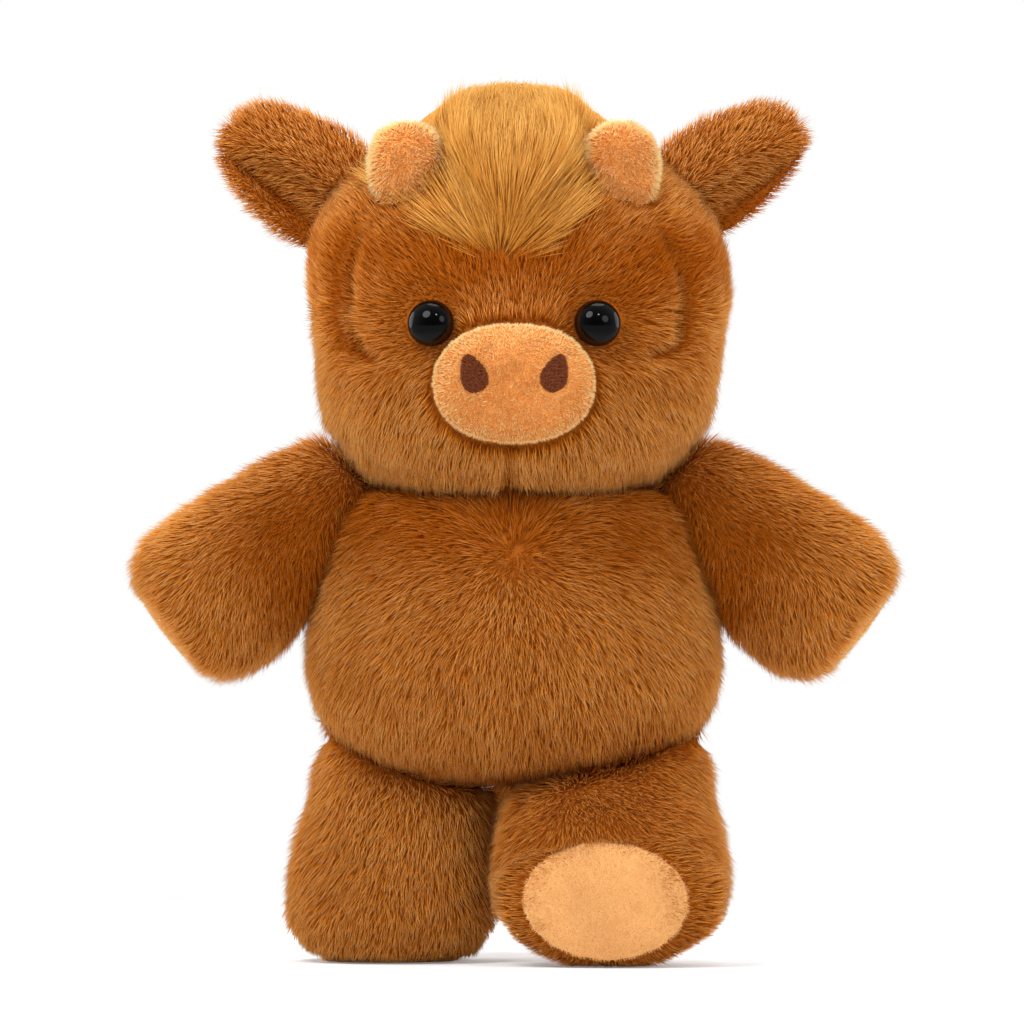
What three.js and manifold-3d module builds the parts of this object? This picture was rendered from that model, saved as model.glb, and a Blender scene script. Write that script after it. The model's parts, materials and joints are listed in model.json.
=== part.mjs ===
// Plush cow: a standing soft toy with a big rounded head, a pear-shaped body and stubby limbs.
// Millimetres, +Z up. The toy looks along -Y. Left and right are the toy's own, so its left is +X.
// Every sewn cover is a shell of cloth and pile, open at its seam.
// Its stuffing is a separate piece inside.
import * as THREE from 'three';
import { mergeVertices } from 'three/addons/utils/BufferGeometryUtils.js';
import Module from 'manifold-3d';

const wasm = await Module();
wasm.setup();

// Cloth and seams
const seamGap = 0.3; // between pieces that touch
const coverWall = 6; // backing cloth with its pile
const padThickness = 3; // short-pile cloth and its backing, on hands and feet
const shoulderFold = 14.8; // gathered band where an arm is sewn on
const jowlRoom = 10.5; // room that an arm's cover leaves for the turning head
const hipFold = 11; // gathered band where a leg is sewn on
const overrun = 20; // how far a cutting shape runs past what it cuts

// Torso
const torsoHalfWidth = 70;
const bellyDepth = 59; // spine to the front of the belly
const torsoBackDepth = 50;
const torsoHeight = 98; // lowest point to the neck seam
const bellyLift = 61; // floor to the lowest point of the torso
const neckRadius = 30; // opening that joins the head's and the torso's stuffing
const pelletDepth = 16; // how deep the pellets lie in the seat

// Head
const headHalfWidth = 70.5;
const faceDepth = 62; // spine to the front of the muzzle
const headBackDepth = 58;
const headHeight = 126;

// Face
const eyeSpacing = 55.5;
const eyeLift = 57; // neck seam to the eyes
const eyeRadius = 7.6;
const eyeDome = 6.4; // how far an eye stands out
const eyeStemRadius = 2.4;
const eyeStemLength = 12.5;
const eyeStemClearance = 0.3;
const washerRadius = 6.5;
const washerThickness = 1.8;
const snoutHalfWidth = 28;
const snoutHalfHeight = 20.7;
const snoutLift = 37; // neck seam to the middle of the snout
const snoutRise = 7.5; // how far the snout stands out from the muzzle
const snoutDepth = 24; // from its root inside the muzzle to its front
const nostrilSpacing = 27.6;
const nostrilLift = 40.5; // neck seam to the nostrils
const nostrilWidth = 9.5;
const nostrilHeight = 13.5;
const stitchThickness = 0.8;

// Horns, ears and topknot
const hornInset = 35.5; // widest part of the head in to the middle of a horn's root
const hornDrop = 37.5; // top of the head down to the middle of a horn's root
const hornSetBack = 26; // head's middle to the horn's root, towards the face
const hornRadius = 13;
const hornLength = 37.5; // root inside the head to the tip
const earInset = 25.5; // widest part of the head in to the middle of an ear's root
const earDrop = 38.5; // top of the head down to the middle of an ear's root
const earSetBack = 4;
const earLength = 64.5;
const earHalfWidth = 22;
const earThickness = 6.5;
const earCupDepth = 8; // hollow of the folded leaf
const earCupHalfWidth = 11;
const earCupDrop = 7.5; // the hollow lies this far towards the ear's lower edge
const earPivotShare = 0.28; // place of the seam along the ear
const crownInset = 14.5; // widest part of the head in to the side of the hair
const crownFrontDepth = 40;
const crownBackDepth = 52;
const crownRise = 13; // top of the head to the top of the hair
const crownHeight = 75; // lowest hair of the crown to its top
const forelockHalfWidth = 24;
const forelockThickness = 8;

// Arms
const shoulderInset = 25; // side of the torso in to the root of an arm's spine
const shoulderLift = 8; // neck seam to the root of an arm's spine
const armLength = 90;
const armHalfWidth = 29.5;
const armHalfDepth = 24;
const handPadHalfWidth = 16;
const handPadHalfDepth = 14;

// Legs: the right one stands straight, the left one steps forward and shows its sole
const hipReach = 36; // middle of the torso to the top of a leg
const legTop = 98; // floor to the top of a leg's spine, inside the torso
const rightFootReach = 42;
const legHalfWidth = 34;
const legFrontDepth = 30;
const legBackDepth = 28;
const leftFootReach = 30.5;
const legSetBack = 5; // the legs stand this far behind the torso's middle
const leftFootAdvance = 57; // how far the left foot is set forward
const leftFootLift = 22.4; // floor to the middle of the left sole
const leftFootHalfWidth = 37;
const leftFootHalfDepth = 30;
const kneeLift = 36;
const kneeAdvance = 13;
const soleHalfWidth = 27;
const soleHalfDepth = 20.5;
const legPart = 7; // the legs part this far to the right of the middle
const floorCut = 0.5; // soft feet are pressed flat this much
const footPelletDepth = 15;

// Tail
const tailLift = 101; // floor to the root of the tail
const tailRadius = 4.6;
const tailDrop = 44;
const tailReach = 17;
const tuftRadius = 9;
const tuftLength = 30;

// Fineness of the meshes
const seamSides = 18;
const innerFineness = 0.66; // share of the outer fineness, for surfaces that lie inside
const probeStep = 0.5; // for measuring slopes on a form

const neckHeight = bellyLift + torsoHeight;
const headBase = neckHeight + seamGap;
const headTop = neckHeight + headHeight;

// Outline shares: place along the spine, then half width, front depth and back depth there.
const headShares = [
  [0, 0, 0, 0], [0.006, 0.62, 0.6, 0.6], [0.035, 0.78, 0.77, 0.74], [0.1, 0.865, 0.9, 0.83],
  [0.18, 0.92, 0.97, 0.89], [0.28, 0.965, 1, 0.94], [0.4, 0.985, 0.965, 0.98], [0.52, 1, 0.915, 1],
  [0.63, 0.99, 0.88, 0.985], [0.73, 0.94, 0.83, 0.93], [0.82, 0.83, 0.73, 0.82], [0.9, 0.66, 0.57, 0.66],
  [0.96, 0.43, 0.37, 0.43], [0.992, 0.2, 0.17, 0.2], [1, 0, 0, 0],
];
const torsoShares = [
  [0, 0, 0, 0], [0.007, 0.32, 0.32, 0.36], [0.036, 0.55, 0.57, 0.62], [0.1, 0.76, 0.78, 0.83],
  [0.18, 0.89, 0.9, 0.93], [0.29, 0.98, 0.975, 0.99], [0.41, 1, 1, 1], [0.53, 0.99, 0.97, 0.98],
  [0.65, 0.965, 0.9, 0.94], [0.77, 0.925, 0.82, 0.89], [0.88, 0.88, 0.76, 0.85], [0.96, 0.82, 0.71, 0.8],
  [0.996, 0.7, 0.63, 0.7], [1, 0, 0, 0],
];
const armShares = [
  [0, 0, 0, 0], [0.02, 0.37, 0.38, 0.38], [0.08, 0.62, 0.6, 0.6], [0.18, 0.77, 0.76, 0.76],
  [0.32, 0.87, 0.86, 0.86], [0.48, 0.93, 0.93, 0.93], [0.63, 0.97, 0.98, 0.98], [0.77, 1, 1, 1],
  [0.87, 0.98, 0.97, 0.97], [0.94, 0.88, 0.87, 0.87], [0.985, 0.66, 0.66, 0.66], [1, 0, 0, 0],
];
const rightLegShares = [
  [0, 0, 0, 0], [0.005, 0.74, 0.74, 0.74], [0.03, 0.88, 0.88, 0.88], [0.08, 0.97, 0.97, 0.97],
  [0.16, 1, 1, 1], [0.3, 0.985, 0.97, 1], [0.45, 0.965, 0.95, 1], [0.6, 0.95, 0.93, 1],
  [0.75, 0.91, 0.9, 0.97], [0.87, 0.79, 0.78, 0.85], [0.96, 0.5, 0.5, 0.55], [1, 0, 0, 0],
];
const leftLegShares = [
  [0, 0, 0, 0], [0.006, 0.72, 0.76, 0.76], [0.04, 0.88, 0.9, 0.9], [0.1, 0.96, 0.98, 0.98],
  [0.18, 1, 1, 1], [0.32, 0.975, 0.98, 0.98], [0.48, 0.94, 0.96, 0.96], [0.64, 0.9, 0.95, 0.95],
  [0.78, 0.84, 0.93, 0.93], [0.9, 0.7, 0.8, 0.8], [0.97, 0.43, 0.5, 0.5], [1, 0, 0, 0],
];
const snoutShares = [
  [0, 0, 0, 0], [0.02, 0.9, 0.9, 0.9], [0.3, 0.98, 0.98, 0.98], [0.62, 1, 1, 1], [0.78, 0.955, 0.95, 0.95],
  [0.9, 0.8, 0.79, 0.79], [0.975, 0.48, 0.47, 0.47], [1, 0, 0, 0],
];
const hornShares = [
  [0, 0, 0, 0], [0.03, 0.9, 0.9, 0.9], [0.3, 1, 1, 1], [0.62, 0.99, 0.97, 0.97], [0.82, 0.88, 0.86, 0.86],
  [0.94, 0.6, 0.58, 0.58], [1, 0, 0, 0],
];
const earShares = [
  [0, 0, 0, 0], [0.04, 0.7, 0.8, 0.8], [0.2, 1, 1, 1], [0.42, 0.99, 1, 1], [0.62, 0.91, 0.97, 0.97],
  [0.8, 0.76, 0.88, 0.88], [0.93, 0.5, 0.62, 0.62], [1, 0, 0, 0],
];
const roundShares = [
  [0, 0, 0, 0], [0.05, 0.44, 0.44, 0.44], [0.2, 0.8, 0.8, 0.8], [0.5, 1, 1, 1], [0.8, 0.8, 0.8, 0.8],
  [0.95, 0.44, 0.44, 0.44], [1, 0, 0, 0],
];
const forelockShares = [
  [0, 0, 0, 0], [0.08, 0.7, 0.7, 0.7], [0.3, 1, 1, 1], [0.55, 0.88, 1, 1], [0.76, 0.58, 0.85, 0.85],
  [0.93, 0.25, 0.5, 0.5], [1, 0, 0, 0],
];
const tailShares = [
  [0, 0, 0, 0], [0.02, 0.9, 0.9, 0.9], [0.3, 1, 1, 1], [0.7, 0.85, 0.85, 0.85], [0.97, 0.7, 0.7, 0.7],
  [1, 0, 0, 0],
];
const tuftShares = [
  [0, 0, 0, 0], [0.06, 0.55, 0.55, 0.55], [0.3, 0.95, 0.95, 0.95], [0.5, 1, 1, 1], [0.78, 0.7, 0.7, 0.7],
  [0.95, 0.28, 0.28, 0.28], [1, 0, 0, 0],
];

const finishes = {
  brownPlush: { color: 0xa3642d, roughness: 0.95, metalness: 0 },
  blondPlush: { color: 0xd49a52, roughness: 0.9, metalness: 0 },
  peachPlush: { color: 0xe6ab74, roughness: 0.95, metalness: 0 },
  solePlush: { color: 0xe3b483, roughness: 0.95, metalness: 0 },
  thread: { color: 0x5c3018, roughness: 0.7, metalness: 0 },
  eyeBlack: { color: 0x0a0706, roughness: 0.08, metalness: 0 },
  washerWhite: { color: 0xe8e6e0, roughness: 0.5, metalness: 0 },
  fibreFill: { color: 0xf2efe8, roughness: 1, metalness: 0 },
  pellets: { color: 0xcfc9bc, roughness: 0.8, metalness: 0 },
};

const toySides = [
  { name: 'left', sign: 1 },
  { name: 'right', sign: -1 },
];

const cow = new THREE.Group();
cow.name = 'plush_cow';

// A form follows a spine. Squareness 2 gives oval sections, more gives fuller corners.
function stuffedForm({ spine, halfWidth, front, back, shares, squareness = 2.3, rings, sides }) {
  const length = spine.getLength();
  const curveOf = (depth, column) => new THREE.CatmullRomCurve3(shares.map(
    (row) => new THREE.Vector3(row[1] * halfWidth, row[column] * depth, row[0] * length),
  ), false, 'catmullrom', 0.5);
  return {
    spine,
    length,
    squareness,
    rings,
    sides,
    frontCurve: curveOf(front, 2),
    backCurve: curveOf(back, 3),
  };
}

// Half width, depths and place along the spine at one share of the outline.
function sectionAt(form, share) {
  const front = form.frontCurve.getPoint(share);
  const back = form.backCurve.getPoint(share);
  return { halfWidth: front.x, front: front.y, back: back.y, along: front.z };
}

function spineFrame(form, along) {
  const share = THREE.MathUtils.clamp(along / form.length, 0, 1);
  const origin = form.spine.getPointAt(share);
  const tangent = form.spine.getTangentAt(share);
  const sideways = new THREE.Vector3(1, 0, 0);
  sideways.addScaledVector(tangent, -sideways.dot(tangent)).normalize();
  const inward = new THREE.Vector3().crossVectors(tangent, sideways);
  return { origin, tangent, sideways, inward };
}

function roundedPower(value, squareness) {
  return Math.sign(value) * Math.abs(value) ** (2 / squareness);
}

function ringPoint(form, section, angle) {
  const { origin, sideways, inward } = spineFrame(form, section.along);
  const across = section.halfWidth * roundedPower(Math.cos(angle), form.squareness);
  const depth = Math.sin(angle) < 0 ? section.front : section.back;
  const deep = depth * roundedPower(Math.sin(angle), form.squareness);
  return origin.clone().addScaledVector(sideways, across).addScaledVector(inward, deep);
}

// The form's surface as one closed mesh, moved out by grow, or in where grow is negative.
function formGeometry(form, grow = 0, fineness = 1) {
  const rings = Math.round(form.rings * fineness);
  const sides = Math.round(form.sides * fineness);
  const points = [form.spine.getPointAt(0)];
  for (let ring = 1; ring <= rings; ring += 1) {
    const share = form.frontCurve.getUtoTmapping(ring / (rings + 1));
    const section = sectionAt(form, share);
    for (let side = 0; side < sides; side += 1) {
      points.push(ringPoint(form, section, (side / sides) * Math.PI * 2));
    }
  }
  points.push(form.spine.getPointAt(1));
  const corner = (ring, side) => 1 + ring * sides + (side % sides);
  const faces = [];
  for (let side = 0; side < sides; side += 1) {
    faces.push(0, corner(0, side + 1), corner(0, side));
    faces.push(points.length - 1, corner(rings - 1, side), corner(rings - 1, side + 1));
    for (let ring = 0; ring < rings - 1; ring += 1) {
      faces.push(corner(ring, side), corner(ring, side + 1), corner(ring + 1, side + 1));
      faces.push(corner(ring, side), corner(ring + 1, side + 1), corner(ring + 1, side));
    }
  }
  const geometry = new THREE.BufferGeometry().setFromPoints(points);
  geometry.setIndex(faces);
  geometry.computeVertexNormals();
  const { position, normal } = geometry.attributes;
  for (let index = 0; index < position.count; index += 1) {
    const moved = new THREE.Vector3().fromBufferAttribute(position, index);
    moved.addScaledVector(new THREE.Vector3().fromBufferAttribute(normal, index), grow);
    position.setXYZ(index, moved.x, moved.y, moved.z);
  }
  return geometry;
}

function solidOf(geometry) {
  const bare = geometry.clone();
  bare.deleteAttribute('normal');
  bare.deleteAttribute('uv');
  const merged = mergeVertices(bare);
  return new wasm.Manifold(new wasm.Mesh({
    numProp: 3,
    vertProperties: new Float32Array(merged.attributes.position.array),
    triVerts: new Uint32Array(merged.index.array),
  }));
}

function geometryOf(solid) {
  const { vertProperties, triVerts } = solid.getMesh();
  const geometry = new THREE.BufferGeometry();
  geometry.setAttribute('position', new THREE.BufferAttribute(new Float32Array(vertProperties), 3));
  geometry.setIndex(new THREE.BufferAttribute(new Uint32Array(triVerts), 1));
  geometry.computeVertexNormals();
  return geometry;
}

function formSolid(form, grow = 0, fineness = 1) {
  return solidOf(formGeometry(form, grow, fineness));
}

// A block between two heights, wide enough to cut any piece of the toy.
function slab(low, high) {
  const reach = 2 * (neckHeight + headHeight);
  const geometry = new THREE.BoxGeometry(reach, reach, high - low);
  geometry.translate(0, 0, (low + high) / 2);
  return solidOf(geometry);
}

// A block on one side of an upright plane across X.
function sideBlock(fromX, sign) {
  const reach = 2 * (neckHeight + headHeight);
  const geometry = new THREE.BoxGeometry(reach, 2 * reach, 2 * reach);
  geometry.translate(fromX + (sign * reach) / 2, 0, 0);
  return solidOf(geometry);
}

function uprightDisc(radius, low, high) {
  const geometry = new THREE.CylinderGeometry(radius, radius, high - low, seamSides);
  geometry.rotateX(Math.PI / 2);
  geometry.translate(0, 0, (low + high) / 2);
  return solidOf(geometry);
}

// An oval plug along a form's spine at its start or end, for pads that are let into the cover.
function ovalPlug(frame, halfWidth, halfDepth, length) {
  const geometry = new THREE.CylinderGeometry(1, 1, 1, seamSides);
  geometry.scale(halfWidth, 2 * length, halfDepth);
  const place = new THREE.Matrix4().makeBasis(frame.sideways, frame.tangent, frame.inward.clone().negate());
  place.setPosition(frame.origin);
  geometry.applyMatrix4(place);
  return solidOf(geometry);
}

function addPiece(name, geometry, finish) {
  const material = new THREE.MeshStandardMaterial({ ...finish });
  const mesh = new THREE.Mesh(geometry, material);
  mesh.name = name;
  cow.add(mesh);
  return mesh;
}

function addSolid(name, solid, finish) {
  return addPiece(name, geometryOf(solid), finish);
}

// The point on the front of an upright form at a given distance sideways and height, and the way it faces.
function frontPoint(form, across, height) {
  const along = height - form.spine.getPointAt(0).z;
  let low = 0;
  let high = 1;
  for (let step = 0; step < 40; step += 1) {
    const middle = (low + high) / 2;
    if (sectionAt(form, middle).along < along) {
      low = middle;
    } else {
      high = middle;
    }
  }
  const section = sectionAt(form, low);
  const share = Math.min(Math.abs(across) / section.halfWidth, 1);
  const deep = section.front * (1 - share ** form.squareness) ** (1 / form.squareness);
  return new THREE.Vector3(across, form.spine.getPointAt(0).y - deep, height);
}

function frontNormal(form, across, height) {
  const left = frontPoint(form, across + probeStep, height);
  const right = frontPoint(form, across - probeStep, height);
  const above = frontPoint(form, across, height + probeStep);
  const below = frontPoint(form, across, height - probeStep);
  return new THREE.Vector3().crossVectors(left.sub(right), above.sub(below)).normalize();
}

const straight = (from, to) => new THREE.LineCurve3(from, to);
const point = (x, y, z) => new THREE.Vector3(x, y, z);

const torsoForm = stuffedForm({
  spine: straight(point(0, 0, bellyLift), point(0, 0, neckHeight)),
  halfWidth: torsoHalfWidth,
  front: bellyDepth,
  back: torsoBackDepth,
  shares: torsoShares,
  rings: 17,
  sides: 26,
});

const headForm = stuffedForm({
  spine: straight(point(0, 0, headBase), point(0, 0, headBase + headHeight)),
  halfWidth: headHalfWidth,
  front: faceDepth,
  back: headBackDepth,
  shares: headShares,
  squareness: 2.5,
  rings: 18,
  sides: 28,
});

function buildTorso() {
  const inner = innerFineness;
  const opening = uprightDisc(neckRadius, neckHeight - 2 * coverWall, neckHeight + overrun);
  const cavity = formSolid(torsoForm, -coverWall, inner).add(opening);
  addSolid('torso_cover', formSolid(torsoForm).subtract(cavity), finishes.brownPlush);
  const neck = uprightDisc(neckRadius - seamGap, neckHeight - 2 * coverWall, neckHeight);
  const filling = formSolid(torsoForm, -coverWall - seamGap, inner).add(neck);
  const seat = bellyLift + coverWall + pelletDepth;
  addSolid('torso_stuffing', filling.subtract(slab(-overrun, seat + seamGap)), finishes.fibreFill);
  addSolid('seat_pellet_bag', filling.subtract(slab(seat, neckHeight + overrun)), finishes.pellets);
}

// An eye is a dome on a stem, pushed through the cover and held by a washer inside.
function eyeProfile() {
  const profile = [new THREE.Vector2(0, -eyeStemLength), new THREE.Vector2(eyeStemRadius, -eyeStemLength)];
  profile.push(new THREE.Vector2(eyeStemRadius, 0));
  const steps = 6;
  for (let step = 0; step <= steps; step += 1) {
    const angle = (step / steps) * (Math.PI / 2);
    profile.push(new THREE.Vector2(eyeRadius * Math.cos(angle), eyeDome * Math.sin(angle)));
  }
  profile[profile.length - 1].x = 0;
  return profile;
}

function washerProfile() {
  const hole = eyeStemRadius + eyeStemClearance;
  const half = washerThickness / 2;
  return [
    new THREE.Vector2(hole, -half),
    new THREE.Vector2(washerRadius, -half),
    new THREE.Vector2(washerRadius, half),
    new THREE.Vector2(hole, half),
    new THREE.Vector2(hole, -half),
  ];
}

function eyePlaces() {
  return toySides.map(({ name, sign }) => {
    const across = (sign * eyeSpacing) / 2;
    const height = neckHeight + eyeLift;
    const outward = frontNormal(headForm, across, height);
    const seat = frontPoint(headForm, across, height).addScaledVector(outward, seamGap);
    const turn = new THREE.Quaternion().setFromUnitVectors(point(0, 1, 0), outward);
    return { name, outward, seat, turn };
  });
}

// A pin-shaped cut along an eye's axis, from one depth to another behind its seat.
function eyeCut({ seat, turn, outward }, radius, near, far) {
  const geometry = new THREE.CylinderGeometry(radius, radius, far - near, 12);
  geometry.applyQuaternion(turn);
  const middle = seat.clone().addScaledVector(outward, -(near + far) / 2);
  geometry.translate(middle.x, middle.y, middle.z);
  return solidOf(geometry);
}

function buildHead() {
  const inner = innerFineness;
  const opening = uprightDisc(neckRadius, headBase - overrun, headBase + 2 * coverWall);
  let cover = formSolid(headForm).subtract(formSolid(headForm, -coverWall, inner).add(opening));
  const neck = uprightDisc(neckRadius - seamGap, headBase, headBase + 2 * coverWall);
  let filling = formSolid(headForm, -coverWall - seamGap, inner).add(neck);
  const washerSeat = coverWall + 3 * seamGap;
  for (const place of eyePlaces()) {
    const eye = addPiece(`eye_${place.name}`, new THREE.LatheGeometry(eyeProfile(), 20), finishes.eyeBlack);
    eye.position.copy(place.seat);
    eye.quaternion.copy(place.turn);
    const washerName = `eye_washer_${place.name}`;
    const washer = addPiece(washerName, new THREE.LatheGeometry(washerProfile(), 16), finishes.washerWhite);
    washer.position.copy(place.seat).addScaledVector(place.outward, -washerSeat - washerThickness / 2);
    washer.quaternion.copy(place.turn);
    cover = cover.subtract(eyeCut(place, eyeStemRadius + eyeStemClearance, -overrun, washerSeat + overrun));
    const washerCut = eyeCut(place, washerRadius + seamGap, washerSeat - seamGap, washerSeat + overrun);
    cover = cover.subtract(washerCut);
    const pocketDepth = eyeStemLength + seamGap;
    filling = filling.subtract(eyeCut(place, washerRadius + seamGap, -overrun, pocketDepth));
  }
  addSolid('head_cover', cover, finishes.brownPlush);
  addSolid('head_stuffing', filling, finishes.fibreFill);
}

const snoutForm = stuffedForm({
  spine: straight(
    point(0, -(faceDepth + snoutRise - snoutDepth), neckHeight + snoutLift),
    point(0, -(faceDepth + snoutRise), neckHeight + snoutLift),
  ),
  halfWidth: snoutHalfWidth,
  front: snoutHalfHeight,
  back: snoutHalfHeight,
  shares: snoutShares,
  squareness: 2.2,
  rings: 9,
  sides: 26,
});

// A nostril is an egg of satin stitch, narrower at the top, leaning outward.
function nostrilOutline(sign) {
  const lean = THREE.MathUtils.degToRad(21) * -sign;
  const outline = [];
  const steps = 22;
  for (let step = 0; step < steps; step += 1) {
    const angle = (step / steps) * Math.PI * 2;
    const narrowing = (1 - Math.sin(angle) * 0.34) / 1.07;
    const across = (nostrilWidth / 2) * Math.cos(angle) * narrowing;
    const up = (nostrilHeight / 2) * Math.sin(angle);
    outline.push(new THREE.Vector2(across, up).rotateAround(new THREE.Vector2(), lean));
  }
  return outline;
}

function buildSnout() {
  addSolid('snout', formSolid(snoutForm).subtract(formSolid(headForm, seamGap)), finishes.peachPlush);
  for (const { name, sign } of toySides) {
    const shape = new THREE.Shape(nostrilOutline(sign));
    const prism = new THREE.ExtrudeGeometry(shape, { depth: snoutDepth, bevelEnabled: false });
    prism.rotateX(Math.PI / 2);
    const back = -(faceDepth + snoutRise) + snoutDepth / 2;
    prism.translate((sign * nostrilSpacing) / 2, back, neckHeight + nostrilLift);
    const raised = formSolid(snoutForm, seamGap + stitchThickness);
    const stitch = solidOf(prism).intersect(raised).subtract(formSolid(snoutForm, seamGap));
    addSolid(`nostril_${name}`, stitch, finishes.thread);
  }
}

function hornForm(sign) {
  const root = point(sign * (headHalfWidth - hornInset), -hornSetBack, headTop - hornDrop);
  const lean = point(sign * 0.03, -0.2, 1).normalize();
  return stuffedForm({
    spine: straight(root, root.clone().addScaledVector(lean, hornLength)),
    halfWidth: hornRadius,
    front: hornRadius,
    back: hornRadius,
    shares: hornShares,
    rings: 8,
    sides: 16,
  });
}

function buildHorns() {
  for (const { name, sign } of toySides) {
    const horn = formSolid(hornForm(sign)).subtract(formSolid(headForm, seamGap));
    addSolid(`horn_${name}`, horn, finishes.peachPlush);
  }
}

// The hair is a crown over the top of the head with a forelock that comes down between the horns.
function buildTopknot() {
  const hairTop = headTop + crownRise;
  const crown = stuffedForm({
    spine: straight(point(0, 0, hairTop - crownHeight), point(0, 0, hairTop)),
    halfWidth: headHalfWidth - crownInset,
    front: crownFrontDepth,
    back: crownBackDepth,
    shares: roundShares,
    rings: 11,
    sides: 22,
  });
  const browTip = frontPoint(headForm, 0, neckHeight + eyeLift + 3 * eyeRadius);
  const lockMiddle = browTip.clone().add(point(0, -crownFrontDepth, hairTop)).divideScalar(2);
  const forelock = stuffedForm({
    spine: new THREE.CatmullRomCurve3([
      point(0, -crownFrontDepth / 3, hairTop - 1.6 * forelockThickness),
      point(0, -crownFrontDepth, hairTop - 3 * forelockThickness),
      lockMiddle.add(point(0, -forelockThickness / 3, -forelockThickness)),
      browTip,
    ]),
    halfWidth: forelockHalfWidth,
    front: forelockThickness,
    back: forelockThickness,
    shares: forelockShares,
    rings: 10,
    sides: 16,
  });
  let hair = formSolid(crown).add(formSolid(forelock)).subtract(formSolid(headForm, seamGap));
  for (const { sign } of toySides) {
    hair = hair.subtract(formSolid(hornForm(sign), 2 * seamGap));
    const parts = earParts(sign);
    for (const swungLeaf of swungForms(parts.leaf, 2 * seamGap, parts)) {
      hair = hair.subtract(swungLeaf);
    }
  }
  addSolid('topknot', hair, finishes.blondPlush);
}

// An ear is a leaf folded into a cup. It is cut for its swing about the seam, so it clears the head.
function earParts(sign) {
  const root = point(sign * (headHalfWidth - earInset), earSetBack, headTop - earDrop);
  const lean = point(sign * 0.815, -0.1, 0.575).normalize();
  const leaf = stuffedForm({
    spine: straight(root, root.clone().addScaledVector(lean, earLength)),
    halfWidth: earHalfWidth,
    front: earThickness,
    back: earThickness,
    shares: earShares,
    rings: 10,
    sides: 18,
  });
  const cupRoot = root.clone().add(point(0, -(earThickness + earCupDepth / 4), 0));
  cupRoot.addScaledVector(point(sign * lean.z, 0, -Math.abs(lean.x)).normalize(), earCupDrop);
  const cup = stuffedForm({
    spine: straight(cupRoot, cupRoot.clone().addScaledVector(lean, earLength * 0.93)),
    halfWidth: earCupHalfWidth,
    front: earCupDepth,
    back: earCupDepth,
    shares: earShares,
    rings: 7,
    sides: 12,
  });
  const frame = spineFrame(leaf, leaf.length * earPivotShare);
  return { leaf, cup, pivot: frame.origin, hinge: frame.sideways };
}

// A form at both ends and the middle of an ear's swing, one solid each.
function swungForms(form, grow, { pivot, hinge }) {
  const swing = THREE.MathUtils.degToRad(20);
  return [-swing, 0, swing].map((angle) => {
    const geometry = formGeometry(form, grow);
    geometry.translate(-pivot.x, -pivot.y, -pivot.z);
    geometry.applyQuaternion(new THREE.Quaternion().setFromAxisAngle(hinge, angle));
    geometry.translate(pivot.x, pivot.y, pivot.z);
    return solidOf(geometry);
  });
}

function buildEars() {
  for (const { name, sign } of toySides) {
    const parts = earParts(sign);
    let ear = formSolid(parts.leaf).subtract(formSolid(parts.cup));
    for (const swungHead of swungForms(headForm, seamGap, parts)) {
      ear = ear.subtract(swungHead);
    }
    addSolid(`ear_${name}`, ear, finishes.brownPlush);
  }
}

function armForm(sign) {
  const root = point(sign * (torsoHalfWidth - shoulderInset), 0, neckHeight + shoulderLift);
  const droop = THREE.MathUtils.degToRad(37);
  const forward = THREE.MathUtils.degToRad(3);
  const lean = point(
    sign * Math.cos(droop) * Math.cos(forward),
    -Math.sin(forward),
    -Math.sin(droop) * Math.cos(forward),
  );
  return stuffedForm({
    spine: straight(root, root.clone().addScaledVector(lean, armLength)),
    halfWidth: armHalfWidth,
    front: armHalfDepth,
    back: armHalfDepth,
    shares: armShares,
    rings: 12,
    sides: 18,
  });
}

// Pads are let into the cover at the end of a limb and follow its rounded end.
function padAndPocket(form, halfWidth, halfDepth, atStart) {
  const frame = spineFrame(form, atStart ? 0 : form.length);
  const plug = ovalPlug(frame, halfWidth, halfDepth, 2 * coverWall);
  const widePlug = ovalPlug(frame, halfWidth + seamGap, halfDepth + seamGap, 2 * coverWall);
  const pad = formSolid(form).intersect(plug).subtract(formSolid(form, -padThickness));
  const pocket = widePlug.subtract(formSolid(form, -padThickness - seamGap));
  return { pad, pocket };
}

function buildArms() {
  const inner = innerFineness;
  for (const { name, sign } of toySides) {
    const form = armForm(sign);
    const outside = formSolid(form);
    const body = formSolid(torsoForm, shoulderFold).add(formSolid(headForm, jowlRoom));
    const fold = outside.intersect(body);
    const foldEnd = formSolid(torsoForm, shoulderFold + seamGap);
    const headSide = formSolid(headForm, jowlRoom + seamGap);
    const rootBlock = sideBlock(sign * (torsoHalfWidth - 2 * shoulderFold), -sign);
    const beyond = foldEnd.add(headSide).add(rootBlock);
    const near = formSolid(torsoForm, seamGap).add(formSolid(headForm, 2 * seamGap)).add(rootBlock);
    const { pad, pocket } = padAndPocket(form, handPadHalfWidth, handPadHalfDepth, false);
    const cover = outside.subtract(formSolid(form, -coverWall, inner)).subtract(pocket).subtract(beyond);
    const filling = formSolid(form, -coverWall - seamGap, inner).subtract(beyond);
    addSolid(`shoulder_fold_${name}`, fold.subtract(near), finishes.brownPlush);
    addSolid(`arm_cover_${name}`, cover, finishes.brownPlush);
    addSolid(`arm_stuffing_${name}`, filling, finishes.fibreFill);
    addSolid(`hand_pad_${name}`, pad, finishes.peachPlush);
  }
}

function rightLegForm() {
  return stuffedForm({
    spine: new THREE.QuadraticBezierCurve3(
      point(-rightFootReach, legSetBack, -floorCut),
      point(-rightFootReach, legSetBack, legTop / 2),
      point(-hipReach, legSetBack, legTop),
    ),
    halfWidth: legHalfWidth,
    front: legFrontDepth,
    back: legBackDepth,
    shares: rightLegShares,
    rings: 14,
    sides: 20,
  });
}

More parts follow.
